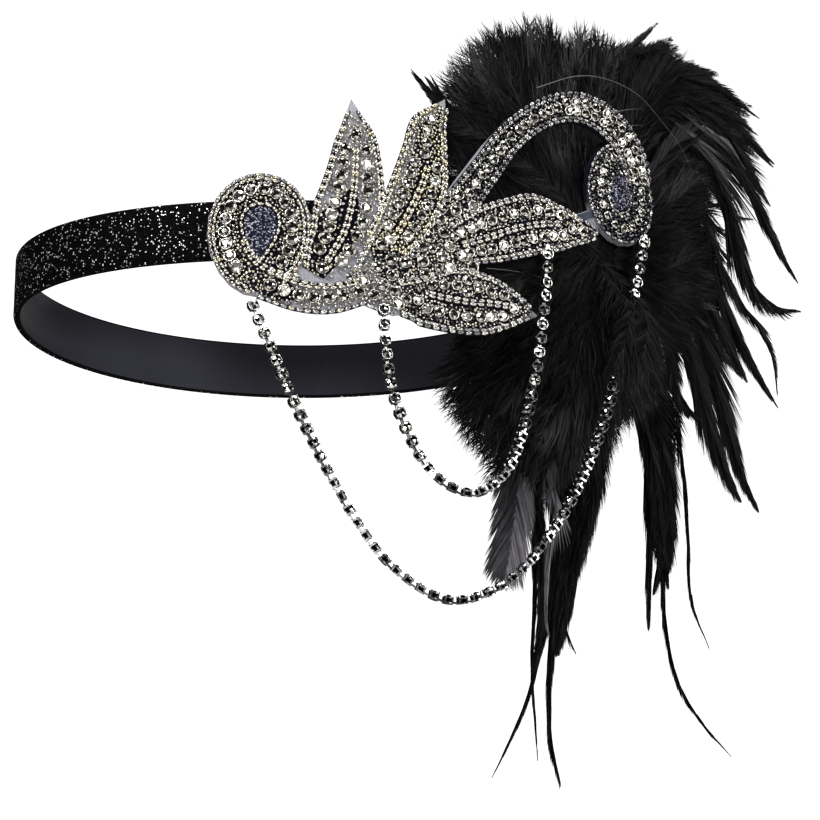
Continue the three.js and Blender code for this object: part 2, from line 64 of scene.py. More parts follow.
# Depths in front of the back of the felt
FELT_THICK = 1.6
GROUND_DEPTH = 1.75
BEAD_DEPTH = 2.2
STONE_DEPTH = 2.75

# Border strings lie in pairs: one at the rim of the beadwork, one this far outside it
STRING_OUT = 1.1
# Below this half width there is no room for the inner string
STRING_MIN = 2.4
# Beads of a string: distance, length and girth in bead radii, brightness and its spread
STRING_PITCH = 3.6
STRING_STRETCH = 2.0
STRING_GIRTH = 0.9
STRING_TONE = 0.68
STRING_SPREAD = 0.12
# Every other bead of an outer string is darker by this share, and it lies on a strip of dark cloth that is
# partly painted shade
CHECK = 0.6
STRIP_HALF = 0.7
# A string and a rib keep loose beads away to this many times their radius
STRING_ROOM = 1.35
RIB_ROOM = 1.8
# The two strings of a rib lie this far from its middle, raised by this much
RIB_HALF = 0.62
RIB_LIFT = 0.4
# The strings below the tail and along the hem lie this much lower than the others
EDGE_LIFT = -0.2
# How much single beads lean, and how unevenly high they sit
BEAD_LEAN = 0.08
BEAD_UNEVEN = 0.06
# Loose beads: tries for each square millimetre, sizes in bead radii, the share of their room that they
# keep, brightness and its spread, and how far up or down they sit
FILL_TRIES = 9
FILL_SIZES = (0.5, 0.9)
FILL_CLOSE = 0.86
FILL_TONE = 0.55
FILL_SPREAD = 0.3
FILL_LIFT = 0.2

# Cut stones, with painted reflections: bright and dark sectors painted round a table that is flatter than
# this slope and painted dark, the share of stones painted white all over, as flashes of light, and how much
# that share grows with a field's painted light
PAINTED_REFLECTION_SECTORS = 3
TABLE_SLOPE = 0.97
TABLE_PAINTED_SHADE = 0.3
PAINTED_FLASH_SHARE = 0.13
PAINTED_FLASH_GROWTH = 0.3
# Least and greatest brightness of a stone's painted reflections
PAINTED_STONE_TONES = (0.6, 1)
# A stone's size as a share of the radius it is given, its lean, and the share that it keeps free
STONE_SHARE = 0.86
STONE_LEAN = 0.1
STONE_ROOM = 1.02
# In stone radii: pitch of a row of stones, width of a lane for one, and the least width for a single
# row; and the share of a lane that has to fit on either side of the midrib
STONE_PITCH = 2.2
LANE_WIDTH = 2.1
SINGLE_MIN = 1.6
LANE_MIN = 0.8
# Tone of plain metal
PLAIN_TONE = 0.5
# The dark cloth, partly painted shade, narrows to a point over this share of a field's length
GROUND_POINT = 0.22
# Steps of a field's midline, of short strings, and of the outlines that keep beads inside
ROW_STEPS = 90
STRING_STEPS = 20
OUTLINE_STEPS = 40
# Materials of a field of beadwork and of a chain, in order
BEADS, STONES, CUPS, CLOTH = range(4)
LINKS, POINTS, SHADE_CORES = range(3)
# Loose corners nearer than this in metres are joined, and faces flatter than this angle are one
WELD = 1e-6
FLAT_ANGLE = 0.01

# Fields of beadwork: midline, and the width on either side of it
Row = namedtuple("Row", "s z left right")
LEAVES = {
    "leaf_1": [
        Row(9.5, -17, 4, 4),
        Row(13.6, -10, 7.4, 7),
        Row(17.3, -3, 9.2, 8),
        Row(19.4, 4.5, 10.3, 9.2),
        Row(20.6, 12, 9.3, 8.4),
        Row(21.1, 22, 6.9, 7),
        Row(21.2, 31, 4.9, 5),
        Row(20.4, 37.5, 1.6, 1.8),
        Row(20.3, 40.5, 0.4, 0.4),
    ],
    "leaf_2": [
        Row(32, -6.5, 6.9, 4.5),
        Row(35.5, 0, 7.3, 6.6),
        Row(39.2, 7.5, 8, 7.4),
        Row(43.1, 17, 8.5, 6.8),
        Row(45.7, 28, 7.6, 4.1),
        Row(47.6, 37.5, 6.6, 1.9),
        Row(49.8, 44.6, 0.5, 0.5),
    ],
    "leaf_3": [
        Row(55, -4, 6.5, 5.2),
        Row(66, 0.6, 9.2, 7.4),
        Row(74.5, 4.6, 9.2, 8.5),
        Row(83.6, 7.6, 9.2, 8.3),
        Row(93, 9.2, 4.6, 7),
        Row(100, 8.8, 2, 3.6),
        Row(105.5, 8.6, 0.5, 0.5),
    ],
    "leaf_4": [
        Row(35, -21.6, 2.4, 6.5),
        Row(41.5, -21, 3.4, 9.4),
        Row(49.7, -22.3, 8.4, 9.6),
        Row(58, -23, 10.2, 9.4),
        Row(66, -22.6, 8, 8.5),
        Row(74, -23, 4.2, 4.9),
        Row(80, -23.9, 0.5, 0.5),
    ],
}
# Tips of the leaves' felt, each with a point of the leaf before it
FELT_TIPS = [
    ((20.8, 35), (20, 42)),
    ((47.6, 37.5), (49.8, 44.6)),
    ((93, 9.2), (103.5, 8.8)),
    ((74, -23), (79.5, -23.8)),
]
TAIL = [
    Row(-8, -19.5, 3.8, 3.8),
    Row(4, -24, 3.6, 3.6),
    Row(14, -24.6, 3.4, 3.4),
    Row(24, -21.8, 2.8, 2.8),
]
ARCH = [
    Row(57, 13.5, 3.4, 4.4),
    Row(64.2, 24.5, 2.8, 4),
    Row(74.5, 39, 2.8, 3.7),
    Row(89, 49.8, 3.3, 3.6),
    Row(102, 52.6, 4.1, 4.1),
    Row(114, 48.5, 4.6, 4.6),
    Row(121.4, 40, 4.6, 4.6),
    Row(124.2, 31, 4.2, 4.2),
]
# How a row field is sewn: stone radius, beads between them, a rib down the middle, the part of its
# length and of its left and right side that lies on dark cloth, partly painted shade, the share of its
# length from which a pair of strings runs on the right, a string across its foot, and a single string on the
# right
Sewing = namedtuple("Sewing", "stone fill rib ground_to ground_left ground_right pair_from foot edge")
# The third leaf's sewing, from which the others differ
LEAF_SEWING = Sewing(
    stone=1.85, fill=1.0, rib=True, ground_to=1.1, ground_left=1.0, ground_right=1.0, pair_from=0.0,
    foot=False, edge=False,
)
SEWING = {
    "leaf_1": LEAF_SEWING._replace(
        stone=2.2, fill=0.12, ground_to=0.55, ground_left=0.95, ground_right=0.5, pair_from=0.42
    ),
    "leaf_2": LEAF_SEWING._replace(stone=1.9, ground_to=1.0, ground_left=0.75),
    "leaf_3": LEAF_SEWING,
    "leaf_4": LEAF_SEWING._replace(foot=True),
    "tail": LEAF_SEWING._replace(stone=2.2, fill=0.2, rib=False, ground_to=0.4, pair_from=1.0, edge=True),
    "arch": LEAF_SEWING._replace(stone=1.7, rib=False, ground_to=1.3),
}
# Painted light and shade: how much lighter or darker the beads of a field are than the others, for how light
# falls on it
FIELD_PAINTED_LIGHT = {"leaf_2": 0.15, "leaf_3": -0.22, "leaf_4": -0.24, "centre": -0.17, "arch": -0.46}
# Middle where the leaves meet: the felt there, its hem and the foot of the arch
WEB = [
    Row(2, -17, 4, 4),
    Row(22, -14, 5, 9),
    Row(36, -9, 8, 14),
    Row(50, -4, 12, 16),
    Row(60, -2, 10, 8),
]
HEM = [
    Row(24, -21.9, 2.8, 2.8),
    Row(31, -22.1, 3, 5),
    Row(37, -21.7, 3, 6),
]
ARCH_FOOT = [
    Row(46, -4, 5, 5),
    Row(52, 5, 5, 5),
    Row(58, 15, 4.6, 4.6),
]
# The middle's beads begin at this place and keep this far from the other fields and the left scroll
CENTRE_FROM = 19
FIELD_ROOM = 1.4
SCROLL_ROOM = 0.8
# Radius and tries of the stones that are strewn there
CENTRE_STONES = [(2.1, 1200), (1.5, 2500)]
# Steps at the web's left end that have no dark cloth, which is partly painted shade
WEB_BARE = 14

# Strings from the second leaf's left edge down to the tail, with a shifted second one, along the hem,
# and from the left inlay round into the tail
SECOND_EDGE = [(26, -3.5), (24.4, -7), (22.3, -11.5), (21, -15)]
SECOND_SHIFT = (1.3, 0.4)
HEM_EDGE = [(25, -26.3), (30, -28.3), (34.5, -29.4)]
INNER_TURN = [(-14.9, -4.5), (-13.2, -9.3), (-10.2, -13.2), (-6, -15.9), (-1.6, -17.4), (3.7, -18.6)]
# Slate cloth on the neck of the right scroll: its two edges, and steps along them
PATCH_STEPS = 12
NECK_PATCH = [(98, 11), (102.5, 13.3), (107, 15.5)], [(96.8, 13.3), (101.3, 15.6), (105.8, 17.8)]

# The arch's felt is dark beyond this place and above this height, and partly dark farther along below it
ARCH_FROM = 66.0
ARCH_ABOVE = 18.0
SCROLL_FROM = 103.0
SCROLL_SHADE = 0.45
# Corners of the felt this near to a leaf's tip are drawn together, this far beyond the beadwork
TIP_REACH = 3.4
TIP_OUT = 3.0

# Scrolls are eggs with a teardrop of cloth at the heart
Egg = namedtuple("Egg", "s z wide high taper")
Drop = namedtuple("Drop", "s z wide high point")
SCROLL_LEFT = Egg(-9.5, -2.6, 15.5, 19.9, 0.08)
SCROLL_RIGHT = Egg(116, 25.5, 13, 17, -0.06)
INLAY_LEFT = Drop(-9, -2.4, 7, 9, -1)
INLAY_RIGHT = Drop(115.4, 26, 5.3, 6.8, 1)
# Steps of a line round a scroll or an inlay
SCROLL_STEPS = 72
# Lines round a scroll: how far inside the rim, and the angles in degrees from which to which they run
Ring = namedtuple("Ring", "inset start stop")
RIM = Ring(0, -90, 270)
LEFT_OUTER = Ring(-0.4, -60, 262)
LEFT_INNER = Ring(0.95, -55, 258)
RIGHT_OUTER = Ring(-0.4, 85, 395)
# Stones round a scroll: their line, pitch and radius
RingStones = namedtuple("RingStones", "ring pitch radius")
LEFT_STONES = RingStones(Ring(4.6, -52, 238), 4.4, 2.2)
RIGHT_STONES = RingStones(Ring(4.0, 100, 400), 4.0, 1.5)
# The string round each inlay lies this far outside it, and loose beads keep this far away
LEFT_INLAY_OUT = 0.9
RIGHT_INLAY_OUT = 0.7
INLAY_CLEAR = 0.4
# How much the strings round the left inlay and into the tail are raised, and steps of the longer strings
INLAY_LIFT = 0.3
TURN_LIFT = 0.2
TURN_STEPS = 40
# Share of the room round each inlay that is filled
LEFT_FILL = 0.75
RIGHT_FILL = 1.0

# Cup chains: the two sewn ends, the links, how far down they begin to turn, and the bends between
# the ends as distance along and height
End = namedtuple("End", "s z")
Bend = namedtuple("Bend", "along z")
Chain = namedtuple("Chain", "left right links turn_from bends")
CHAIN_DEPTH = 4.1
CHAINS = {
    "chain_inner": Chain(End(29.9, -26.2), End(85.3, -0.8), 34, 0.75, [
        Bend(2.4, -52), Bend(8.4, -69), Bend(17, -82), Bend(29, -87),
        Bend(39.5, -81), Bend(46.5, -66), Bend(51.5, -45), Bend(54.6, -22),
    ]),
    "chain_outer": Chain(End(-11.6, -25.6), End(124.5, 11), 57, 0.38, [
        Bend(15.5, -60), Bend(33.5, -93), Bend(48, -110.5), Bend(67, -119.5),
        Bend(87, -111), Bend(105, -88), Bend(118.5, -59), Bend(127, -29),
    ]),
}
# Steps of a chain's curve, how far its lowest links turn inwards, and how much single links lean
CHAIN_STEPS = 400
LINK_TURN = math.radians(82)
LINK_LEAN = 0.12
# Parts of a link: thickness of its floor and rim, width of a post, where posts and claws stand as a
# share of the cup's radius, radius of a claw and its height over the rim, and the bar to the next link
PLATE_THICK = 0.45
POST_WIDE = 0.55
POST_SHARE = 0.92
CLAW_RADIUS = 0.42
CLAW_UP = 0.15
BAR_OUT = 0.7
BAR_DEPTH = -0.4
BAR_SIDES = (2.0, 1.0, 0.6)
DISC_STEPS = 12
# Painted shade inside a cup, as a dark disc: its radius and half its height as shares of the cup's radius and
# height
SHADE_CORE_WIDE = 0.88
SHADE_CORE_HIGH = 0.35
# Radius of a chain's stone, and how far it is sunk into its cup
POINT_RADIUS = 1.92
POINT_SUNK = 0.1

# Plume: where the quills are bound, and how each kind of feather grows. Lengths are millimetres
# and angles degrees; open and close are the barbs' angle at the root and at the tip, and past is how
# far a barb may reach beyond the tip.
PLUME_HEAD = (108.0, 2.0)
HEAD_WIDE = 6.0
Kind = namedtuple(
    "Kind", "spacing barb open close curl loose ragged clump rise taper tuft bare camber lift quill past"
)
DOWN = Kind(
    spacing=0.36, barb=0.30, open=48, close=36, curl=16, loose=9, ragged=0.3, clump=5, rise=0.3,
    taper=0.4, tuft=0.3, bare=0.2, camber=2.0, lift=0.5, quill=0.11, past=9.0,
)
SPIKY = DOWN._replace(spacing=0.5, barb=0.58, loose=8, ragged=0.35, clump=3, past=7.0)
COVER = DOWN._replace(bare=0.02, camber=0.0, lift=0.2)
BROAD = Kind(
    spacing=0.36, barb=0.50, open=48, close=30, curl=14, loose=2.6, ragged=0.12, clump=6, rise=0.2,
    taper=0.5, tuft=0.06, bare=0.3, camber=2.0, lift=0.3, quill=0.2, past=2.5,
)
HACKLE = Kind(
    spacing=0.4, barb=0.55, open=24, close=8, curl=4, loose=0.7, ragged=0.05, clump=20, rise=0.25,
    taper=1.05, tuft=0.015, bare=0.3, camber=0.8, lift=0.1, quill=0.2, past=0.3,
)
# Grey hackles that show only near their tips
PALE_HACKLE = HACKLE._replace(spacing=0.75, barb=0.36, loose=2.5, clump=2, bare=0.72, rise=0.1, taper=0.45)
VANE = HACKLE._replace(
    open=30, close=12, curl=8, loose=1.2, taper=0.65, tuft=0.02, bare=0.25, camber=1.5, lift=0.2, past=0.6
)
PALE_VANE = VANE._replace(
    spacing=0.34, barb=1.1, open=34, close=26, curl=3, loose=0.5, ragged=0.03, taper=0.1, bare=0.35, past=3.5
)
BIOT = HACKLE._replace(
    spacing=0.6, barb=0.6, open=8, close=4, curl=2, loose=0.4, taper=0.75, tuft=0.02, quill=0.28
)

# Soft locks: where they are bound, how much painted sheen they may have, the tips of the fan they grow in,
# and rows of feathers one before the other
Tip = namedtuple("Tip", "s z")
Tier = namedtuple("Tier", "count reach depth width")
Fluff = namedtuple("Fluff", "root_depth tone tips tiers")
FLUFF_TOP = Fluff(-9.1, 0.17, [
    Tip(188, 84), Tip(176, 98), Tip(162, 101), Tip(148, 101), Tip(134, 100), Tip(118, 99), Tip(103, 98),
    Tip(89, 94), Tip(76, 90), Tip(66, 84), Tip(58, 76), Tip(55, 66), Tip(52, 56), Tip(50, 44),
], [Tier(54, 0.93, -19, 12), Tier(46, 0.78, -16, 12), Tier(38, 0.57, -12.5, 12)])
FLUFF_LOWER = Fluff(-1.3, 0.12, [
    Tip(60, -29), Tip(55, -40), Tip(53, -49), Tip(54, -57), Tip(57, -65), Tip(63, -72), Tip(72, -79),
    Tip(84, -82), Tip(99, -80), Tip(113, -70), Tip(126, -58), Tip(138, -46), Tip(144, -26),
], [Tier(46, 0.94, -15, 11), Tier(36, 0.75, -11, 12), Tier(26, 0.5, -6, 11)])
FAN_FILL = Fluff(-3.9, 0.13, [
    Tip(142, -48), Tip(156, -20), Tip(168, -7), Tip(184, 10), Tip(180, 30), Tip(177, 46), Tip(186, 64),
], [Tier(38, 0.92, -15, 10), Tier(24, 0.82, -18, 12), Tier(28, 0.7, -10, 11)])
# Short down that hides the bound head and the band beside it
FLUFF_COVER = Fluff(-0.9, 0.04, [
    Tip(52, 60), Tip(49, 48), Tip(43, 34), Tip(41, 22), Tip(43, 12), Tip(57, 4), Tip(57, -8), Tip(55, -18),
    Tip(57, -38),
], [Tier(38, 0.93, -0.9, 8), Tier(20, 0.6, -1.0, 9)])
FLUFF_RIGHT_COVER = Fluff(-0.9, 0.04, [
    Tip(70, -50), Tip(100, -58), Tip(130, -40), Tip(146, -10), Tip(150, 20), Tip(146, 45),
], [Tier(30, 0.8, -3, 10), Tier(16, 1.0, -14, 10)])

# Single feathers: points that the quill passes up to its tip, depth, half width, copies and paleness, which
# on black feathers is painted sheen
Plumelet = namedtuple("Plumelet", "path depth width copies tone")
FAN_BROAD = [
    Plumelet([(124, 80), (136, 90), (145, 99)], -11, 5, 2, 0.08),
    Plumelet([(125, 77), (143, 90), (160, 97)], -13, 10, 3, 0.06),
    Plumelet([(137, 78), (161, 89), (181, 87)], -13, 12, 4, 0.06),
    Plumelet([(143, 75), (173, 82), (193, 81)], -12, 12, 4, 0.06),
    Plumelet([(149, 74), (179, 77), (194, 74)], -11, 12, 4, 0.06),
    Plumelet([(148, 70), (178, 71), (195, 66)], -11, 11, 3, 0.06),
    Plumelet([(146, 64), (170, 66), (188, 58)], -12, 9, 3, 0.04),
    Plumelet([(134, 44), (150, 52), (172, 54)], -13, 11, 3, 0.06),
    Plumelet([(134, 40), (152, 45), (176, 42)], -14, 10, 2, 0.06),
]
FAN_HACKLES = [
    Plumelet([(143, 77), (173, 86), (199, 80)], -11, 12.2, 1, 0.05),
    Plumelet([(143, 75), (173, 80), (198, 73)], -11, 12.2, 1, 0.05),
    Plumelet([(143, 72), (173, 77), (206, 64)], -11, 16.2, 2, 0.05),
    Plumelet([(143, 72), (176, 72), (203, 47)], -11, 16.2, 2, 0.05),
    Plumelet([(147, 74), (164, 71), (183, 63), (196, 47), (207, 32), (217, 21)], -12, 17.6, 1, 0.05),
    Plumelet([(144, 72), (169, 66), (188, 55), (199, 43), (211, 28), (216, 22)], -12, 13.5, 1, 0.05),
    Plumelet(
        [(153, 72), (177, 57), (183, 43), (187, 31), (194, 16), (205, 10), (219, 11)], -13, 17.6, 1, 0.05
    ),
    Plumelet(
        [(151, 69), (171, 57), (181, 43), (185, 27), (193, 15), (204, 10), (217, 11)], -14, 14.9, 1, 0.06
    ),
    Plumelet([(164, 62), (178, 51), (186, 40), (195, 40)], -12, 10.8, 1, 0.1),
    Plumelet([(165, 44), (177, 23), (187, 9), (197, 1), (204, -9), (206, -23)], -14, 10.8, 1, 0.05),
    Plumelet([(163, 37), (176, 15), (182, 4), (190, -8), (199, -19), (206, -26)], -15, 16.2, 2, 0.05),
    Plumelet([(158, 24), (170, 8), (176, 0), (184, -11), (192, -21)], -15, 16.2, 2, 0.05),
    Plumelet([(152, 5), (164, -11), (170, -29), (175, -42), (181, -54), (188, -65)], -17, 18.9, 2, 0.05),
    Plumelet([(157, 10), (172, -9), (181, -33), (188, -52), (197, -67)], -17, 17.6, 2, 0.05),
    Plumelet([(146, -4), (154, -17), (158, -33), (163, -40)], -16, 10.8, 3, 0.03),
    Plumelet([(152, -8), (155, -23), (157, -30), (162, -36), (170, -41)], -15.5, 10.8, 2, 0.04),
    Plumelet([(171, -2), (182, -11), (192, -19)], -17.5, 10.8, 1, 0.45),
    Plumelet([(65, 41), (54, 52), (43, 63)], -14, 9.5, 2, 0.04),
    Plumelet([(67, 41), (56, 53), (48, 62)], -14, 9.5, 1, 0.04),
    Plumelet([(68, 41), (58, 51), (50, 63)], -14, 6.8, 1, 0.04),
]
FAN_PALE = [
    Plumelet([(152, 72), (160, 71), (169, 69), (177, 67), (184, 64), (191, 58)], -11.3, 7, 1, 0.6),
    Plumelet([(150, 67), (160, 65), (170, 60), (176, 56), (182, 50)], -11.3, 7, 1, 0.35),
]
TAIL_BIOTS = [
    Plumelet([(111, -68), (108, -103), (102, -124), (95, -143), (87, -158), (79, -171)], -28, 3.0, 1, 0.02),
    Plumelet([(100, -70), (99, -104), (97, -134), (98, -151), (99, -164)], -28, 2.6, 1, 0.02),
    Plumelet([(108, -69), (107, -110), (105, -137), (105, -155), (109, -172)], -28, 4.6, 2, 0.03),
    Plumelet([(100, -63), (105, -77), (103, -88), (101, -101), (100, -116), (101, -124)], -23, 3.4, 1, 0.85),
    Plumelet([(132, -58), (122, -84), (113, -106), (113, -118), (118, -127)], -28, 3.5, 1, 0.02),
    Plumelet([(152, -33), (155, -61), (154, -89), (153, -114)], -28, 5, 2, 0.02),
    Plumelet([(157, -28), (159, -60), (160, -81), (156, -101)], -28, 5, 2, 0.02),
    Plumelet([(162, -27), (163, -59), (162, -81), (163, -98)], -28, 4.5, 2, 0.02),
    Plumelet([(161, -38), (161, -81), (161, -109), (166, -129), (176, -141), (191, -152)], -28, 2.8, 1, 0.02),
    Plumelet([(166, -22), (171, -47), (173, -75), (174, -100), (182, -116)], -28, 2.6, 1, 0.02),
]
TAIL_VANES = [
    Plumelet([(99, -60), (101, -91), (101, -114), (97, -136)], -27, 9, 4, 0.03),
    Plumelet([(103, -53), (108, -77), (107, -104), (106, -129)], -25, 13, 4, 0.03),
    Plumelet([(112, -51), (114, -75), (110, -100), (107, -127)], -25, 14, 4, 0.03),
    Plumelet([(119, -51), (119, -75), (113, -100), (108, -125)], -25, 14, 4, 0.03),
    Plumelet([(128, -46), (125, -70), (116, -96), (111, -117)], -25, 12, 4, 0.03),
    Plumelet([(146, -30), (154, -50), (157, -70), (158, -92)], -26, 13, 4, 0.03),
    Plumelet([(152, -30), (160, -50), (162, -70), (161, -92)], -26, 13, 4, 0.03),
]
TAIL_PALE = [
    Plumelet([(92, -52), (90, -70), (88, -85), (83.6, -107.5)], -26, 11.5, 1, 0.5),
]
# Copies of a single feather lie this far apart at their ends
BROAD_DRIFT = 2.5
BLADE_DRIFT = 0.7
# Wisps that curl forward over the outer chain
WISPS = [
    [(110, -6, 1), (114, -18, 8), (108, -44, 8)],
    [(112, -8, 2), (117, -20, 8), (112, -46, 8)],
    [(114, -6, 2), (120, -20, 8.5), (116, -42, 8)],
    [(110, -8, 2), (113, -20, 8.5), (106, -42, 9)],
]
WISP_WIDTH = 8.0
# Covers start up to this far behind the head, so that they cross it
COVER_BACK = 12.0
# Bare quills that show as pale lines
BARE_QUILLS = [
    [(87, 60, -5), (104, 68, -5), (117, 70, -5), (132, 68, -5), (142, 62, -5), (152, 54, -5), (158, 45, -5)],
    [(65, -9.8, 0.6), (76, -9.5, 0.6), (87.5, -10.4, 0.6)],
    [(117.5, 56.6, -1), (123, 58.9, -1), (129.9, 61.1, -1)],
    [(121.7, 52, -1), (125.7, 53.8, -1), (129.7, 54.9, -1)],
]
BARE_RADIUS = 0.19
BARE_TONE = 0.7
BARE_STEPS = 40
# Steps of a wisp's quill and of a single feather's, and how much narrower each copy is
WISP_STEPS = 24
PLUMELET_STEPS = 48
COPY_SHRINK = 0.12
# Depth at which the tails are bound
TAIL_ROOT = -6.5
# Soft locks: steps of the line of tips and of a quill, the part of its share of that line in which a
# tip may lie, the share of the reach that it may have, the spread of its depth, and how much and
# where along it a quill sways
RIM_STEPS = 120
LOCK_STEPS = 14
TIP_SHARES = (0.1, 0.9)
REACH_SHARES = (0.89, 1.03)
DEPTH_SPREAD = 1
SWAY = 0.07
SWAY_AT = 0.55

# Places along a barb, and the corners and triangles of one
BARB_STEPS = np.array([0, 0.5, 1.0])
BARB_CORNERS = 5
BARB_TRIANGLES = np.array([[0, 1, 2], [1, 3, 2], [2, 3, 4]])
# Fewest barbs on a side of a feather, and where on the rise the first one starts
FEWEST_BARBS = 10
FIRST_RISE = 0.08
# Barbs get finer over the last part of the quill, down to a share of their width
FINE_FROM = 0.1
FINE_SHARE = 0.35
# Single barbs stray by this share of their clump's looseness, and lean out by at least this angle
STRAY = 0.35
LEAST_ANGLE = 4
# A barb is no longer than it would be at this share of the angle at the tip
CLOSE_SHARE = 0.8
# Least and greatest share of a kind's past and curl that a barb has
PAST_SHARES = (0.3, 1)
CURL_SHARES = (0.3, 1.5)
# How much barbs slope, how much paler a feather's left side is than its right, which on black feathers is
# more painted sheen, and the spread of tones
BARB_SLOPE = 0.6
SIDE_TONE = 0.5
BARB_SPREAD = 0.03
# A quill's tone as a share of its feather's, and the girth of its tip as a share of its root's
QUILL_TONE = 0.6
QUILL_TIP = 0.1

# Ribbon: steps round and up the loop
LOOP_STEPS = 224
LOOP_RISES = 4
# Rounding of edges in metres, its steps, and the angle from which an edge is rounded
RIBBON_ROUNDING = 0.0003
FELT_ROUNDING = 0.0004
ROUNDING_STEPS = 2
ROUNDING_ANGLE = math.radians(50)

# Sheets of cloth: piece, node, slot, flat size in metres and the piece that it lies on
SHEETS = [
    ("applique_felt", "applique_base", "felt", (0.162, 0.092), "ribbon_glitter"),
    ("inlay_left_cloth", "inlay_left", "inlay", (0.014, 0.018), "applique_felt"),
    ("inlay_right_cloth", "inlay_right", "inlay", (0.0106, 0.0136), "applique_felt"),
    ("plume_pad_felt", "plume_pad", "inlay", (0.018, 0.012), "ribbon_glitter"),
]

# Lights: place, width of the soft square and watts, with one target, in metres
Lamp = namedtuple("Lamp", "place width power")
LAMP_TARGET = (0.05, -0.03, 0)
LAMPS = {
    "key_light": Lamp((-0.55, -0.95, 0.75), 0.4, 11),
    "fill_light": Lamp((1.05, -0.55, 0.2), 0.5, 5),
    "spark_light": Lamp((0.5, -1.0, 0.42), 0.16, 1.2),
    "low_light": Lamp((-0.2, -1.0, -0.5), 0.25, 2.5),
    "top_light": Lamp((0.1, -0.1, 0.9), 0.5, 4),
    "back_light": Lamp((0.5, 0.8, 0.5), 0.5, 6),
}
# Lights on one thing alone: the ornament shades the right half of the lining from the first one
LINING_LAMP = Lamp((0.09, -1.0, -0.16), 0.15, 21)
LINING_TARGET = (-0.05, 0.06, 0)
FLOOR_LAMP_PLACE = (0, 0, 1.9)
FLOOR_LAMP_WIDTH = 3.0
# Steps round the floor, and width of the camera's sensor in millimetres
FLOOR_STEPS = 96
SENSOR_WIDTH = 36


def size(name, description, default):
    """A length that a user may change."""
    return FloatProperty(name=name, description=description, default=default, unit="LENGTH", precision=5)


def colour(name, description, default):
    """A colour that a user may change."""
    return FloatVectorProperty(
        name=name, description=description, default=default, subtype="COLOR", size=3, min=0, max=1
    )


class RibbonSettings(PropertyGroup):
    """Sizes and colours of the ribbon loop."""

    half_length: size("Half length", "Half the loop's length from side to side", 0.095)
    near_depth: size("Near depth", "Loop's depth on the ornament's side", 0.064)
    far_depth: size("Far depth", "Loop's depth on the far side", 0.080)
    near_power: FloatProperty(name="Near squareness", description="Roundness of the near side", default=2.24)
    height: size("Height", "Height of the ribbon", 0.020)
    thickness: size("Thickness", "Thickness of each layer", 0.001)
    gap: size("Gap", "Gap between the two layers", 0.0003)
    glitter_dark: colour("Glitter ground", "Colour between the glitter", (0.003, 0.003, 0.0035))
    glitter_bright: colour("Glitter", "Colour of the glitter", (1.0, 1.0, 1.0))
    lining: colour("Lining", "Colour of the inner face", (0.0125, 0.0128, 0.0157))


class AppliqueSettings(PropertyGroup):
    """Sizes and colours of the beaded applique."""

    bead_radius: size("Bead radius", "Radius of the seed beads", 0.00074)
    felt: colour("Felt", "Colour of the felt", (0.46, 0.46, 0.505))
    # Navy of the cloth under the beads and of the arch's felt; under the beads it is partly painted shade
    ground: colour("Ground", "Colour of the cloth under the beads", (0.012, 0.011, 0.022))
    slate: colour("Slate", "Colour of the cloth on the neck of the right scroll", (0.09, 0.10, 0.14))
    inlay: colour("Inlay", "Colour of the teardrop inlays", (0.005, 0.006, 0.015))
    silver: colour("Silver", "Colour of the metal and of most beads", (0.66, 0.64, 0.58))
    champagne: colour("Champagne", "Colour of the warmer beads", (0.55, 0.50, 0.355))
    # The stones' facets are painted between these two colours: painted shade and painted reflection
    stone_painted_shade: colour("Stone shade", "Colour of the stones' dark facets", (0.03, 0.03, 0.03))
    stone_painted_light: colour("Stone light", "Colour of the stones' bright facets", (0.95, 0.93, 0.87))


class ChainSettings(PropertyGroup):
    """Sizes and colours of the cup chains."""

    cup_width: size("Cup width", "Width of a cup across the chain", 0.0037)
    cup_height: size("Cup height", "Height of a cup from back to rim", 0.0022)
    metal: colour("Metal", "Colour of the cups", (0.62, 0.62, 0.61))
    # Painted shade: colour of the dark disc inside the cups
    core: colour("Core", "Colour inside the cups", (0.012, 0.012, 0.013))


class PlumeSettings(PropertyGroup):
    """Colours of the plume."""

    seed: IntProperty(name="Seed", description="Start of the feathers' random numbers", default=7)
    black: colour("Black", "Colour of the feathers", (0.0040, 0.0029, 0.0030))
    # Pale colour of the grey vanes, and of the painted sheen on the black feathers
    pale: colour("Pale", "Colour of the thin grey vanes", (0.26, 0.25, 0.27))


class StageSettings(PropertyGroup):
    """Camera, floor and light."""

    camera: FloatVectorProperty(
        name="Camera", description="Place of the camera", default=(0.039, -0.9523, -0.3457),
        subtype="TRANSLATION", unit="LENGTH",
    )
    lift: FloatProperty(
        name="Lift", description="How far the camera looks up", default=math.radians(17.77), subtype="ANGLE"
    )
    lens: FloatProperty(name="Lens", description="Focal length in millimetres", default=129.47)
    floor: size("Floor", "Height of the floor", -0.6)
    floor_radius: size("Floor radius", "Radius of the round floor", 1.6)
    floor_light: FloatProperty(name="Floor light", description="Watts of the light on the floor", default=12)
    surround: FloatProperty(name="Surround", description="Light from all round", default=0.06)


SETTINGS = {
    "headband_ribbon": RibbonSettings,
    "headband_applique": AppliqueSettings,
    "headband_chains": ChainSettings,
    "headband_plume": PlumeSettings,
    "headband_stage": StageSettings,
}


def arithmetic(operation, swapped=False):
    """Method that joins a socket and another value by a Math node."""

    def method(self, other):
        first, second = (other, self) if swapped else (self, other)
        return self.shader.node("ShaderNodeMath", {"operation": operation}, {0: first, 1: second})

    return method


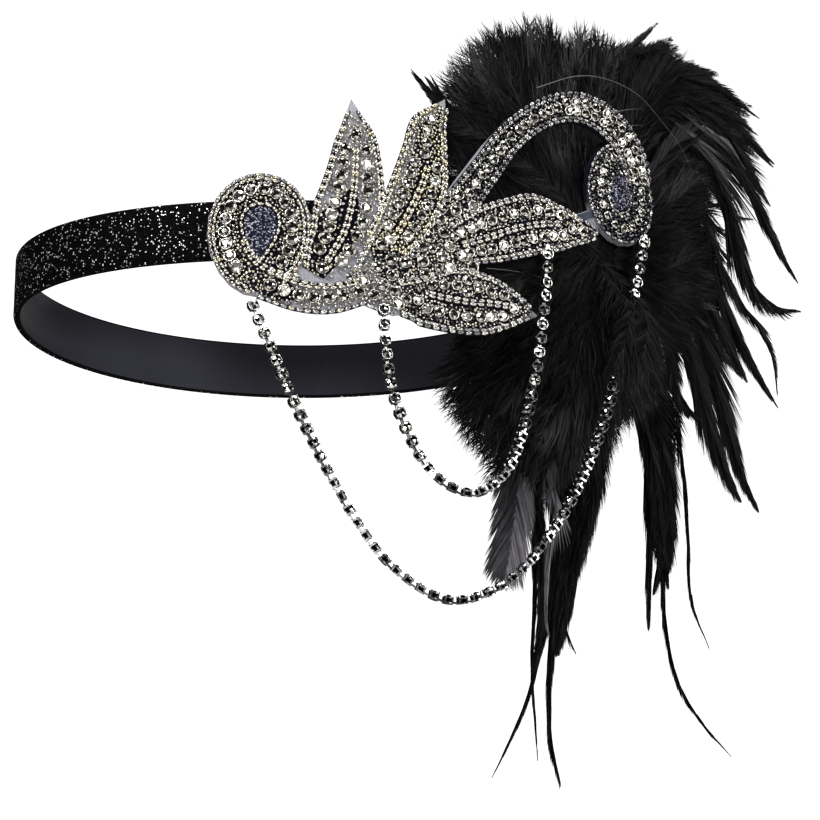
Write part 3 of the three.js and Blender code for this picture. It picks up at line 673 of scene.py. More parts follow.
class Value:
    """A socket of a shader node whose arithmetic adds Math nodes."""

    def __init__(self, shader, socket):
        self.shader = shader
        self.socket = socket

    def other(self, name):
        """Another output of the same node."""
        return Value(self.shader, self.socket.node.outputs[name])

    __add__ = arithmetic("ADD")
    __radd__ = arithmetic("ADD", True)
    __sub__ = arithmetic("SUBTRACT")
    __rsub__ = arithmetic("SUBTRACT", True)
    __mul__ = arithmetic("MULTIPLY")
    __rmul__ = arithmetic("MULTIPLY", True)
    __gt__ = arithmetic("GREATER_THAN")
    __lt__ = arithmetic("LESS_THAN")


class Shader:
    """Builds the nodes of one material."""

    def __init__(self, name):
        self.material = bpy.data.materials.new(name)
        self.material.use_nodes = True
        self.tree = self.material.node_tree
        self.tree.nodes.clear()

    def node(self, kind, settings, inputs, output=0):
        """Adds a node: its type, its settings, then the values or links of its sockets."""
        made = self.tree.nodes.new(kind)
        for name, value in settings.items():
            if name == "stops":
                self.set_stops(made.color_ramp.elements, value)
            else:
                setattr(made, name, value)
        for key, value in inputs.items():
            if isinstance(value, Value):
                self.tree.links.new(value.socket, made.inputs[key])
            else:
                made.inputs[key].default_value = value
        return Value(self, made.outputs[output]) if made.outputs else None

    @staticmethod
    def set_stops(elements, stops):
        while len(elements) < len(stops):
            elements.new(1.0)
        for element, (position, tint) in zip(elements, stops):
            element.position = position
            element.color = (*tint, 1)

    def place(self):
        return self.node("ShaderNodeTexCoord", {}, {}, "Object")

    def map(self):
        return self.node("ShaderNodeTexCoord", {}, {}, "UV")

    def attribute(self, name):
        return self.node("ShaderNodeAttribute", {"attribute_name": name}, {}, "Fac")

    def noise(self, place, grain, detail=3.0):
        """Noise whose grain is a length in metres, or a share of the map."""
        inputs = {"Vector": place, "Scale": 1 / grain, "Detail": detail}
        return self.node("ShaderNodeTexNoise", {}, inputs, "Fac")

    def specks(self, place, grain, channel, reach, rarity):
        """Round specks in some cells of a grain, and the random channel of the cells that picks them."""
        inputs = {"Vector": place, "Scale": 1 / grain}
        distance = self.node("ShaderNodeTexVoronoi", {}, inputs, "Distance")
        chance = self.node("ShaderNodeSeparateColor", {}, {0: distance.other("Color")}, channel)
        return (distance < reach) * (chance > rarity), chance

    def mix(self, share, first, second):
        """Colour between two colours."""
        inputs = {0: share, 6: rgba(first), 7: rgba(second)}
        return self.node("ShaderNodeMix", {"data_type": "RGBA"}, inputs, 2)

    def bump(self, height, distance, strength):
        inputs = {"Height": height, "Distance": distance, "Strength": strength}
        return self.node("ShaderNodeBump", {}, inputs)

    def surface(self, inputs):
        """Principled surface, joined to the material's output."""
        shaded = self.node("ShaderNodeBsdfPrincipled", {}, inputs)
        self.node("ShaderNodeOutputMaterial", {}, {"Surface": shaded})
        return self.material


def rgba(tint):
    """A plain colour with its alpha; a socket stays as it is."""
    return tint if isinstance(tint, Value) else (*tint, 1)


def glitter_cloth(ribbon):
    """Black cloth strewn with bright flakes of two sizes."""
    shader = Shader("glitter_cloth")
    place = shader.place()
    flakes, chance = shader.specks(place, grain=0.00062, channel="Red", reach=0.42, rarity=0.83)
    fine_flakes, _ = shader.specks(place, grain=0.00032, channel="Green", reach=0.4, rarity=0.8)
    dust = fine_flakes * 0.02
    bright = flakes * (0.2 + 0.8 * chance.other("Green")) + dust
    tint = shader.mix(bright, ribbon.glitter_dark, ribbon.glitter_bright)
    return shader.surface({
        "Base Color": tint,
        "Roughness": 0.6 - 0.3 * flakes,
        "Metallic": flakes * 0.3,
        "Specular IOR Level": 0.03,
        "Normal": shader.bump(flakes + dust, distance=0.0001, strength=0.6),
    })


def lining_cloth(ribbon):
    """Smooth dark ribbon with a fine rib across it."""
    shader = Shader("lining_cloth")
    place = shader.map()
    rib = shader.node(
        "ShaderNodeTexWave",
        {"bands_direction": "X"},
        {"Vector": place, "Scale": 420.0, "Distortion": 0.6, "Detail": 1.0},
        "Fac",
    )
    cloud = shader.noise(shader.place(), grain=0.03)
    lighter = tuple(1.5 * channel for channel in ribbon.lining)
    height = shader.node("ShaderNodeSeparateXYZ", {}, {0: place}, "Y")
    edge = height * height > (0.47 * ribbon.height) ** 2
    return shader.surface({
        "Base Color": shader.mix(edge * 0.9, shader.mix(cloud, ribbon.lining, lighter), (0, 0, 0)),
        "Roughness": 0.65 + 0.2 * cloud,
        "Specular IOR Level": 0.05,
        "Normal": shader.bump(rib, distance=0.00004, strength=0.4),
    })


def felt_cloth(name, tint, dark):
    """Matted fibres with a soft nap, dark where the tone is high."""
    shader = Shader(name)
    place = shader.place()
    tint = shader.mix(shader.attribute("tone"), tint, dark)
    fibres = shader.noise(place, grain=0.0007, detail=6.0)
    blotches = shader.noise(place, grain=0.006)
    return shader.surface({
        "Base Color": shader.mix(0.8 - 0.6 * fibres - 0.5 * blotches, tint, (0, 0, 0)),
        "Roughness": 0.75 + 0.2 * fibres,
        "Specular IOR Level": 0.15,
        "Normal": shader.bump(fibres, distance=0.0003, strength=0.6),
    })


def inlay_cloth(applique):
    """Violet cloth with a fine pale speckle."""
    shader = Shader("inlay_cloth")
    place = shader.place()
    specks, chance = shader.specks(place, grain=0.00048, channel="Red", reach=0.5, rarity=0.5)
    speckle = specks * (0.05 + 0.95 * chance.other("Green"))
    cloud = shader.noise(place, grain=0.004)
    lighter = tuple(2.2 * channel for channel in applique.inlay)
    tint = shader.mix(cloud, applique.inlay, lighter)
    return shader.surface({
        "Base Color": shader.mix(speckle, tint, (0.7, 0.7, 0.8)),
        "Roughness": 0.6 - 0.3 * speckle,
        "Specular IOR Level": 0.12,
        "Normal": shader.bump(speckle, distance=0.0001, strength=0.5),
    })


def bead_glass(applique):
    """Silver-lined seed beads from dark through silver to champagne."""
    shader = Shader("bead_glass")
    tone = shader.attribute("tone")
    stops = [
        (0.0, (0.05, 0.05, 0.055)),
        (0.3, (0.45, 0.44, 0.43)),
        (0.6, tuple(applique.silver)),
        (1.0, tuple(applique.champagne)),
    ]
    tint = shader.node("ShaderNodeValToRGB", {"stops": stops}, {0: tone}, "Color")
    return shader.surface({
        "Base Color": tint,
        "Metallic": 0.85,
        "Roughness": 0.12 + 0.1 * tone,
        "Coat Weight": 0.5,
    })


def cut_stone(applique):
    """Foil-backed cut stone, with painted reflections: its facets are painted dark to bright by tone."""
    shader = Shader("cut_stone")
    tone = shader.attribute("tone")
    return shader.surface({
        "Base Color": shader.mix(tone, applique.stone_painted_shade, applique.stone_painted_light),
        "Metallic": 1.0,
        "Roughness": 0.05 + 0.15 * tone,
    })


def cup_metal(name, tint):
    """Plated metal, a little worn."""
    shader = Shader(name)
    wear = shader.noise(shader.place(), grain=0.0012)
    darker = tuple(0.6 * channel for channel in tint)
    return shader.surface({
        "Base Color": shader.mix(wear, darker, tint),
        "Metallic": 1.0,
        "Roughness": 0.14 + 0.16 * wear,
    })


def feather_black(plume):
    """Black barbs with a faint gloss and a painted sheen in streaks where the tone is low; pale vanes where
    the tone is high.
    """
    shader = Shader("feather_black")
    tone = shader.attribute("tone")
    sheen_streak = shader.noise(shader.place(), grain=0.004)
    # Painted sheen: low tones paint the black barbs paler, in streaks
    tint = shader.mix(tone * (0.6 + 0.8 * sheen_streak), plume.black, plume.pale)
    return shader.surface({
        "Base Color": tint,
        "Roughness": 0.34 + 0.25 * sheen_streak,
        "Specular IOR Level": 0.1,
    })


def curve_through(points, steps):
    """Smooth curve through points, sampled in even steps of its parameter."""
    points = np.asarray(points, float)
    ends = 2 * points[0] - points[1], 2 * points[-1] - points[-2]
    padded = np.vstack([ends[0], points, ends[1]])
    gaps = np.sqrt(np.linalg.norm(np.diff(padded, axis=0), axis=1))
    place = np.linspace(0, len(points) - 1, steps + 1)
    piece = np.minimum(place.astype(int), len(points) - 2)
    share = (place - piece)[:, None]
    p0, p1, p2, p3 = (padded[piece + k] for k in range(4))
    g0, g1, g2 = (gaps[piece + k][:, None] for k in range(3))
    out = ((p1 - p0) / g0 - (p2 - p0) / (g0 + g1) + (p2 - p1) / g1) * g1
    into = ((p2 - p1) / g1 - (p3 - p1) / (g1 + g2) + (p3 - p2) / g2) * g1
    square = 3 * (p2 - p1) - 2 * out - into
    cube = 2 * (p1 - p2) + out + into
    return p1 + out * share + square * share**2 + cube * share**3


def run_length(line):
    """Distance along a line at each of its points."""
    return np.concatenate([[0], np.cumsum(np.linalg.norm(np.diff(line, axis=0), axis=1))])


def at_length(line, lengths):
    """Points of a line at the given distances along it."""
    run = run_length(line)
    return np.stack([np.interp(lengths, run, line[:, k]) for k in range(line.shape[1])], axis=-1)


def spaced(line, pitch):
    """Points along a line, evenly and about a pitch apart."""
    total = run_length(line)[-1]
    count = max(2, round(total / pitch))
    return at_length(line, (np.arange(count) + 0.5) * total / count)


def headings(line):
    """Unit directions along a line."""
    ahead = np.gradient(line, axis=0)
    return ahead / np.maximum(np.linalg.norm(ahead, axis=1, keepdims=True), 1e-9)


def leftwards(ahead):
    return np.stack([-ahead[:, 1], ahead[:, 0]], axis=-1)


def bend(flat):
    """Flat points (s, z, depth) bent round the brow, as frame points in metres."""
    s, z, depth = flat[..., 0], flat[..., 1], flat[..., 2]
    angle = np.minimum(s / BEND_RADIUS, BEND_LIMIT)
    straight = s - angle * BEND_RADIUS
    radius = BEND_RADIUS + depth
    x = radius * np.sin(angle) + straight * np.cos(angle)
    y = BEND_CENTRE_Y - radius * np.cos(angle) + straight * np.sin(angle)
    return np.stack([x, y, z], axis=-1) * MM


class Gather:
    """Corners and triangles of many small things, joined into one mesh."""

    def __init__(self):
        self.corners = []
        self.triangles = []
        self.tones = []
        self.slots = []
        self.smooth = []
        self.count = 0

    def add(self, corners, triangles, tones, slot=0, smooth=False):
        """Adds corners (n, 3), triangles (m, 3) and a tone for each corner."""
        self.corners.append(corners)
        self.triangles.append(triangles + self.count)
        self.tones.append(np.broadcast_to(tones, len(corners)))
        self.slots.append(np.full(len(triangles), slot))
        self.smooth.append(np.full(len(triangles), smooth))
        self.count += len(corners)

    def add_copies(self, shape, frames, places, tones, slot=0, smooth=False):
        """Adds a shape once for each place, turned and sized by that place's 3 by 3 frame. There is a
        tone for each place, or for each corner at each place."""
        corners, triangles = shape
        placed = np.einsum("vk,nkj->nvj", corners, frames) + places[:, None, :]
        offsets = np.arange(len(places))[:, None, None] * len(corners)
        every = (triangles[None] + offsets).reshape(-1, 3)
        tones = np.broadcast_to(np.reshape(tones, (len(places), -1)), placed.shape[:2])
        self.add(placed.reshape(-1, 3), every, tones.ravel(), slot, smooth)

    def make(self, name, materials, to_frame):
        """One object; to_frame turns the corners into frame points."""
        corners = to_frame(np.concatenate(self.corners))
        mesh = bpy.data.meshes.new(name)
        mesh.from_pydata(corners, [], np.concatenate(self.triangles))
        mesh.polygons.foreach_set("material_index", np.concatenate(self.slots).astype(np.int32))
        mesh.polygons.foreach_set("use_smooth", np.concatenate(self.smooth))
        tone = mesh.attributes.new("tone", "FLOAT", "POINT")
        tone.data.foreach_set("value", np.concatenate(self.tones).astype(np.float32))
        for material in materials:
            mesh.materials.append(material)
        mesh.update()
        return show(name, mesh)


def show(name, mesh):
    made = bpy.data.objects.new(name, mesh)
    bpy.context.scene.collection.objects.link(made)
    return made


def show_bmesh(name, bm):
    """New object with the mesh of a bmesh, which is freed."""
    mesh = bpy.data.meshes.new(name)
    bm.to_mesh(mesh)
    bm.free()
    return show(name, mesh)


def settle(piece, slot, *nodes):
    """The piece rides on the part and stands for its solids. Its slot is not used."""
    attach(piece, BODY)
    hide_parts(*nodes)


def shape_of(bm):
    """Corners and triangles of a bmesh, which is freed."""
    bmesh.ops.triangulate(bm, faces=bm.faces)
    bm.verts.index_update()
    corners = np.array([vert.co for vert in bm.verts])
    triangles = np.array([[vert.index for vert in face.verts] for face in bm.faces])
    bm.free()
    return corners, triangles


def bead_shape():
    """Round seed bead of radius 1."""
    bm = bmesh.new()
    bmesh.ops.create_uvsphere(bm, u_segments=8, v_segments=5, radius=1)
    return shape_of(bm)


# Rings of corners of a cut stone of girdle radius 1: count, radius, height and turn in steps
STONE_RINGS = [(16, 0.92, -0.12, 0), (16, 0.92, 0, 0), (8, 0.76, 0.26, 0), (8, 0.47, 0.44, 0.5)]
# The same for one that rises almost to a point
POINT_RINGS = [(12, 0.92, -0.12, 0), (12, 0.92, 0, 0), (6, 0.66, 0.26, 0.5), (6, 0.2, 0.44, 0)]


def cut_shape(rings):
    """Round cut stone with flat facets between its rings of corners."""
    bm = bmesh.new()
    for count, radius, height, turn in rings:
        for i in range(count):
            angle = 2 * math.pi * (i + turn) / count
            bm.verts.new((radius * math.cos(angle), radius * math.sin(angle), height))
    bmesh.ops.convex_hull(bm, input=bm.verts)
    bmesh.ops.dissolve_limit(bm, angle_limit=FLAT_ANGLE, verts=bm.verts, edges=bm.edges)
    return shape_of(bm)


def painted_facet_reflections(shape):
    """The shape with each triangle's corners its own, and their painted reflections: bright and dark facets
    painted by turns round a table painted dark."""
    corners, triangles = shape
    loose = corners[triangles]
    normals = np.cross(loose[:, 1] - loose[:, 0], loose[:, 2] - loose[:, 0])
    normals /= np.linalg.norm(normals, axis=1, keepdims=True)
    turns = np.arctan2(normals[:, 1], normals[:, 0])
    painted_shades = np.where(normals[:, 2] > TABLE_SLOPE, TABLE_PAINTED_SHADE, 0.5 + 0.5 * np.cos(PAINTED_REFLECTION_SECTORS * turns))
    return (loose.reshape(-1, 3), np.arange(loose.size // 3).reshape(-1, 3)), np.repeat(painted_shades, 3)


def painted_stone_tones(rng, count, painted_shades, painted_flashing):
    """Tones of the corners of many stones, with painted reflections, of which a share is painted white all
    over as flashes.
    """
    painted_flash = (rng.random(count) < painted_flashing)[:, None]
    return np.clip(np.outer(rng.uniform(*PAINTED_STONE_TONES, count), painted_shades) + painted_flash, 0, 1)


# Low cup for a stone of radius 1: profile as radius and height, steps round it, size and height of a claw
CUP_PROFILE = [(1.04, -0.45), (1.16, 0.02), (1.06, 0.14), (0.9, 0.08)]
CUP_STEPS = 12
CUP_CLAW = 0.24
CUP_CLAW_UP = 0.16


def claw_angles():
    """Angles of the four claws of a cup."""
    return [math.pi * (0.25 + 0.5 * turn) for turn in range(4)]


def add_claw(bm, radius, place):
    claw = bmesh.ops.create_uvsphere(bm, u_segments=6, v_segments=4, radius=radius)["verts"]
    bmesh.ops.translate(bm, verts=claw, vec=place)


def cup_shape():
    """Low round cup with four claws."""
    bm = bmesh.new()
    verts = [bm.verts.new((radius, 0, height)) for radius, height in CUP_PROFILE]
    edges = [bm.edges.new(pair) for pair in zip(verts, verts[1:])]
    bmesh.ops.spin(
        bm, geom=verts + edges, cent=(0, 0, 0), axis=(0, 0, 1), angle=2 * math.pi, steps=CUP_STEPS,
        use_merge=True,
    )
    bmesh.ops.recalc_face_normals(bm, faces=bm.faces)
    for angle in claw_angles():
        add_claw(bm, CUP_CLAW, (math.cos(angle), math.sin(angle), CUP_CLAW_UP))
    return shape_of(bm)


def turned_frames(turns, sizes, tilts):
    """Frames turned about the outward axis, leaned by small tilts and sized along each axis."""
    frames = np.zeros((len(turns), 3, 3))
    frames[:, 0] = np.stack([np.cos(turns), np.sin(turns), tilts[:, 0]], axis=-1)
    frames[:, 1] = np.stack([-np.sin(turns), np.cos(turns), tilts[:, 1]], axis=-1)
    frames[:, 2] = np.stack([-tilts[:, 0], -tilts[:, 1], np.ones(len(turns))], axis=-1)
    return frames * sizes[:, :, None]


class Field:
    """Beads and stones of one sewn field, laid out in flat millimetres."""

    def __init__(self, bead_radius, painted_light, seed):
        self.rng = np.random.default_rng(seed)
        self.radius = bead_radius
        self.painted_light = painted_light
        self.gather = Gather()
        self.taken = np.zeros((0, 3))

    def claim(self, places, radius):
        rows = np.column_stack([places, np.broadcast_to(radius, len(places))])
        self.taken = np.vstack([self.taken, rows])

    def sew_beads(self, places, turns, stretch, radius, tones, lift=0.0, room=1.0):
        """Beads at places, each turned along its row, stretched that way and given some room."""
        count = len(places)
        sizes = np.outer(np.broadcast_to(radius, count), [stretch, 1, 1])
        tilts = self.rng.normal(0, BEAD_LEAN, (count, 2))
        depth = BEAD_DEPTH + lift + self.rng.normal(0, BEAD_UNEVEN, count)
        frames = turned_frames(np.broadcast_to(turns, count), sizes, tilts)
        self.gather.add_copies(BEAD, frames, np.column_stack([places, depth]), tones, BEADS, True)
        self.claim(places, radius * room)

    # Tones with the field's painted light and shade added
    def tones(self, count, middle, spread):
        return np.clip(self.rng.normal(middle + self.painted_light, spread, count), 0, 1)

    def sew_line(self, line, check=0.0, lift=0.0, room=STRING_ROOM):
        """A string of oval beads along a line of flat points, every other one darker by a share."""
        places = spaced(line, STRING_PITCH * self.radius)
        ahead = headings(places)
        turns = np.arctan2(ahead[:, 1], ahead[:, 0]) + self.rng.normal(0, BEAD_LEAN, len(places))
        tones = self.tones(len(places), STRING_TONE, STRING_SPREAD)
        tones[1::2] *= 1 - check
        self.sew_beads(places, turns, STRING_STRETCH, STRING_GIRTH * self.radius, tones, lift, room)

    def sew_rib(self, middle, side):
        """Two raised strings side by side with a dark gap on either side."""
        for sign in (1, -1):
            self.sew_line(middle + sign * RIB_HALF * side, 0.0, RIB_LIFT, RIB_ROOM)

    def set_stones(self, places, radius):
        """Stones in their cups, each turned and leaned a little its own way."""
        places = np.asarray(places, float).reshape(-1, 2)
        count = len(places)
        turns = self.rng.uniform(0, math.pi, count)
        sizes = np.full((count, 3), radius * STONE_SHARE)
        tilts = self.rng.normal(0, STONE_LEAN, (count, 2))
        spots = np.column_stack([places, np.full(count, STONE_DEPTH)])
        frames = turned_frames(turns, sizes, tilts)
        # Painted reflections on the facets, and a share of stones painted white as flashes
        tones = painted_stone_tones(self.rng, count, STONE_PAINTED_REFLECTIONS, PAINTED_FLASH_SHARE + PAINTED_FLASH_GROWTH * self.painted_light)
        self.gather.add_copies(STONE, frames, spots, tones, STONES)
        self.gather.add_copies(CUP, frames, spots, np.full(count, PLAIN_TONE), CUPS, True)
        self.claim(places, radius * STONE_ROOM)

    def fill(self, inside, low, high, share):
        """Loose beads wherever there is room between what is sewn already."""
        tries = int(share * FILL_TRIES * np.prod(np.subtract(high, low)))
        for spot in self.rng.uniform(low, high, (tries, 2)):
            radius = self.radius * self.rng.uniform(*FILL_SIZES)
            if inside(spot) and self.clear(spot, radius, FILL_CLOSE):
                tone = self.tones(1, FILL_TONE, FILL_SPREAD)
                lift = self.rng.uniform(-FILL_LIFT, FILL_LIFT)
                self.sew_beads(spot[None], 0.0, 1.0, radius, tone, lift)

    def clear(self, spot, radius, closeness):
        """Whether a round thing fits among what is sewn already."""
        gaps = np.hypot(*(self.taken[:, :2] - spot).T) - (self.taken[:, 2] + radius) * closeness
        return bool((gaps > 0).all())

    def strew_stones(self, inside, low, high, radius, tries):
        """Stones wherever there is room."""
        for spot in self.rng.uniform(low, high, (tries, 2)):
            if inside(spot) and self.clear(spot, radius, 1.0):
                self.set_stones(spot, radius)

    def lay_ground(self, inner, outer, tone=1.0):
        """Cloth between two lines of flat points, dark or in part as light as slate; the dark is partly
        painted shade between the beads.
        """
        count = len(inner)
        corners = np.column_stack([np.vstack([inner, outer]), np.full(2 * count, GROUND_DEPTH)])
        near = np.arange(count - 1)
        lower = np.column_stack([near, near + 1, near + count])
        upper = np.column_stack([near + 1, near + count + 1, near + count])
        self.gather.add(corners, np.vstack([lower, upper]), tone, CLOTH)

    def make(self, name, materials, node):
        settle(self.gather.make(name, materials, bend), "beadwork", node)


BEAD = bead_shape()
STONE, STONE_PAINTED_REFLECTIONS = painted_facet_reflections(cut_shape(STONE_RINGS))
POINT, POINT_PAINTED_REFLECTIONS = painted_facet_reflections(cut_shape(POINT_RINGS))
CUP = cup_shape()


def station_lines(rows, steps):
    """Midline of a row table with its two widths at each point."""
    line = curve_through([tuple(row) for row in rows], steps)
    middle = line[:, :2]
    return middle, leftwards(headings(middle)), line[:, 2], line[:, 3]


def inside_outline(outline):
    """Test for a flat point inside an outline."""
    ahead = np.roll(outline, -1, axis=0)

    def inside(spot):
        over = (outline[:, 1] > spot[1]) != (ahead[:, 1] > spot[1])
        rise = np.where(over, ahead[:, 1] - outline[:, 1], 1)
        cross = outline[:, 0] + (spot[1] - outline[:, 1]) / rise * (ahead[:, 0] - outline[:, 0])
        return np.count_nonzero(over & (spot[0] < cross)) % 2 == 1

    return inside


def sew_rows(field, rows, sewing):
    """Beadwork of a row table: ground, border strings, midrib, stones and filling."""
    middle, side, left, right = station_lines(rows, ROW_STEPS)
    last = int(sewing.ground_to * ROW_STEPS)
    rim_left = middle + side * left[:, None]
    rim_right = middle - side * right[:, None]
    share = np.linspace(0, 1, ROW_STEPS + 1)
    narrow = np.clip((sewing.ground_to - share) / GROUND_POINT, 0, 1)[:, None]
    under_left = middle + side * left[:, None] * narrow * sewing.ground_left
    under_right = middle - side * right[:, None] * narrow * sewing.ground_right
    field.lay_ground(under_right[:last + 1], under_left[:last + 1])
    sew_edge(field, middle, side, left)
    first = int(sewing.pair_from * ROW_STEPS)
    if first < ROW_STEPS:
        sew_edge(field, middle[first:], -side[first:], right[first:])
    if sewing.edge:
        sew_border(field, middle, -side, right + STRING_OUT, EDGE_LIFT)
    if sewing.foot:
        field.sew_line(np.linspace(rim_right[0], rim_left[0], STRING_STEPS))
    lanes = sew_row_stones(field, middle, side, left - field.radius, right - field.radius, sewing)
    if sewing.rib and lanes.any():
        field.sew_rib(middle[lanes], side[lanes])
    outline = np.vstack([rim_right, rim_left[::-1]])
    field.fill(inside_outline(outline), outline.min(axis=0), outline.max(axis=0), sewing.fill)


def sew_edge(field, middle, side, width):
    """Pair of strings along one edge of a row field, the outer one checked."""
    sew_border(field, middle, side, width + STRING_OUT)
    wide = width > STRING_MIN
    field.sew_line((middle + side * width[:, None])[wide])


def sew_border(field, middle, side, width, lift=0.0):
    """Checked string on a strip of dark cloth, partly painted shade, at some width from a midline."""
    outer, inner = (middle + side * (width + edge)[:, None] for edge in (STRIP_HALF, -STRIP_HALF))
    field.lay_ground(outer, inner)
    field.sew_line(middle + side * width[:, None], CHECK, lift)


def sew_row_stones(field, middle, side, left, right, sewing):
    """Stones beside the midrib where the field is wide, and single ones where it is narrow.
    Gives the points of the midline that have stones on both sides."""
    run = run_length(middle)
    pitch = STONE_PITCH * sewing.stone
    rib = RIB_HALF + field.radius if sewing.rib else 0.0
    lane = LANE_WIDTH * sewing.stone
    lanes = np.minimum(left, right) > rib + LANE_MIN * lane
    for length in np.arange(pitch / 2, run[-1], pitch):
        at = min(np.searchsorted(run, length), len(run) - 1)
        if lanes[at]:
            for sign, width in ((1, left[at]), (-1, right[at])):
                rows = max(1, int((width - rib) / lane))
                for row in range(rows):
                    offset = rib + (row + 0.5) * (width - rib) / rows
                    field.set_stones(middle[at] + sign * side[at] * offset, sewing.stone)
        elif left[at] + right[at] > SINGLE_MIN * sewing.stone:
            field.set_stones(middle[at] + side[at] * (left[at] - right[at]) / 2, sewing.stone)
    return lanes


def egg_line(egg, ring):
    """Line round a scroll."""
    turn = np.radians(np.linspace(ring.start, ring.stop, SCROLL_STEPS + 1))
    wide = (egg.wide - ring.inset) * (1 + egg.taper * np.sin(turn))
    return np.column_stack([egg.s + wide * np.cos(turn), egg.z + (egg.high - ring.inset) * np.sin(turn)])


def drop_line(drop, grow):
    """Line round a teardrop, a distance outside it."""
    turn = np.linspace(0, 2 * math.pi, SCROLL_STEPS + 1)
    wide = (drop.wide + grow) * np.sin(turn) * np.sin(turn / 2)
    tall = (drop.high + grow) * np.cos(turn)
    return np.column_stack([drop.s - drop.point * wide, drop.z + drop.point * tall])


def lay_scroll(field, egg):
    """Dark cloth of a whole scroll, partly painted shade between its beads. Gives its rim."""
    rim = egg_line(egg, RIM)
    field.lay_ground(np.tile([egg.s, egg.z], (len(rim), 1)), rim)
    return rim


def ring_stones(field, egg, stones):
    field.set_stones(spaced(egg_line(egg, stones.ring), stones.pitch), stones.radius)


def fill_scroll(field, rim, inlay, share):
    """Loose beads inside a scroll's rim, but not on its inlay."""
    core = inside_outline(drop_line(inlay, INLAY_CLEAR))
    whole = inside_outline(rim)
    field.fill(lambda spot: whole(spot) and not core(spot), rim.min(axis=0), rim.max(axis=0), share)


def sew_scroll_left(field):
    """Left scroll with its tail: two border strings, a ring of stones and a string round the inlay."""
    rim = lay_scroll(field, SCROLL_LEFT)
    field.sew_line(egg_line(SCROLL_LEFT, LEFT_OUTER), CHECK)
    field.sew_line(egg_line(SCROLL_LEFT, LEFT_INNER))
    inner = curve_through(INNER_TURN, TURN_STEPS)
    field.sew_line(inner, 0.0, TURN_LIFT, RIB_ROOM)
    field.sew_line(inner + leftwards(headings(inner)) * 2 * RIB_HALF, 0.0, TURN_LIFT, RIB_ROOM)
    field.sew_line(drop_line(INLAY_LEFT, LEFT_INLAY_OUT), 0.0, INLAY_LIFT, RIB_ROOM)
    ring_stones(field, SCROLL_LEFT, LEFT_STONES)
    sew_rows(field, TAIL, SEWING["tail"])
    fill_scroll(field, rim, INLAY_LEFT, LEFT_FILL)


def sew_arch(field):
    """Arch and right scroll: border strings and small stones, closely filled."""
    sew_rows(field, ARCH, SEWING["arch"])
    rim = lay_scroll(field, SCROLL_RIGHT)
    field.sew_line(drop_line(INLAY_RIGHT, RIGHT_INLAY_OUT))
    field.sew_line(egg_line(SCROLL_RIGHT, RIGHT_OUTER), CHECK)
    ring_stones(field, SCROLL_RIGHT, RIGHT_STONES)
    fill_scroll(field, rim, INLAY_RIGHT, RIGHT_FILL)


def row_outline(rows, grow):
    """Outline of a row table, grown by a distance."""
    middle, side, left, right = station_lines(rows, OUTLINE_STEPS)
    back = middle - side * (right + grow)[:, None]
    front = middle + side * (left + grow)[:, None]
    return np.vstack([back, front[::-1]])


def sew_centre(field):
    """Middle of the applique: stones of two sizes and beads wherever the other fields leave room."""
    room = [inside_outline(row_outline(rows, 0)) for rows in (WEB, HEM, ARCH_FOOT)]
    others = [inside_outline(row_outline(rows, FIELD_ROOM)) for rows in [*LEAVES.values(), TAIL, ARCH]]
    scroll = inside_outline(egg_line(SCROLL_LEFT, RIM._replace(inset=-SCROLL_ROOM)))

    def inside(spot):
        free = any(test(spot) for test in room) and spot[0] > CENTRE_FROM
        return free and not scroll(spot) and not any(test(spot) for test in others)

    for rows, first in ((WEB, WEB_BARE), (ARCH_FOOT, 0)):
        middle, side, left, right = station_lines(rows, OUTLINE_STEPS)
        field.lay_ground((middle - side * right[:, None])[first:], (middle + side * left[:, None])[first:])
    field.lay_ground(*(curve_through(edge, PATCH_STEPS) for edge in NECK_PATCH), 0.0)
    second = curve_through(SECOND_EDGE, TURN_STEPS)
    field.sew_line(second, CHECK)
    field.sew_line(second + SECOND_SHIFT)
    field.sew_line(curve_through(HEM_EDGE, STRING_STEPS), CHECK, EDGE_LIFT)
    outline = np.vstack([row_outline(rows, 0) for rows in (WEB, HEM, ARCH_FOOT)])
    low, high = outline.min(axis=0), outline.max(axis=0)
    for radius, tries in CENTRE_STONES:
        field.strew_stones(inside, low, high, radius, tries)
    field.fill(inside, low, high, 1.0)


def copy_of_node(name, node):
    """A new object with a node's solid, its loose triangles joined and its leaf tips drawn to a point."""
    bm = bmesh.new()
    bm.from_mesh(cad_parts[node].data)
    bmesh.ops.remove_doubles(bm, verts=bm.verts, dist=WELD)
    for before, tip in FELT_TIPS:
        ahead = np.subtract(tip, before)
        point = np.array(tip) + TIP_OUT * ahead / np.linalg.norm(ahead)
        for depth in (0, FELT_THICK):
            centre = Vector(bend(np.array([*tip, depth], float)))
            near = [vert for vert in bm.verts if (vert.co - centre).length < TIP_REACH * MM]
            same = [vert for vert in near if abs(felt_depth(vert.co) - depth) < FELT_THICK / 3]
            if same:
                bmesh.ops.pointmerge(bm, verts=same, merge_co=Vector(bend(np.array([*point, depth]))))
    bmesh.ops.dissolve_limit(bm, angle_limit=FLAT_ANGLE, verts=bm.verts, edges=bm.edges)
    return show_bmesh(name, bm)


def felt_depth(place):
    """Depth of a frame point in front of the back of the felt, in millimetres."""
    return math.hypot(place.x / MM, BEND_CENTRE_Y - place.y / MM) - BEND_RADIUS


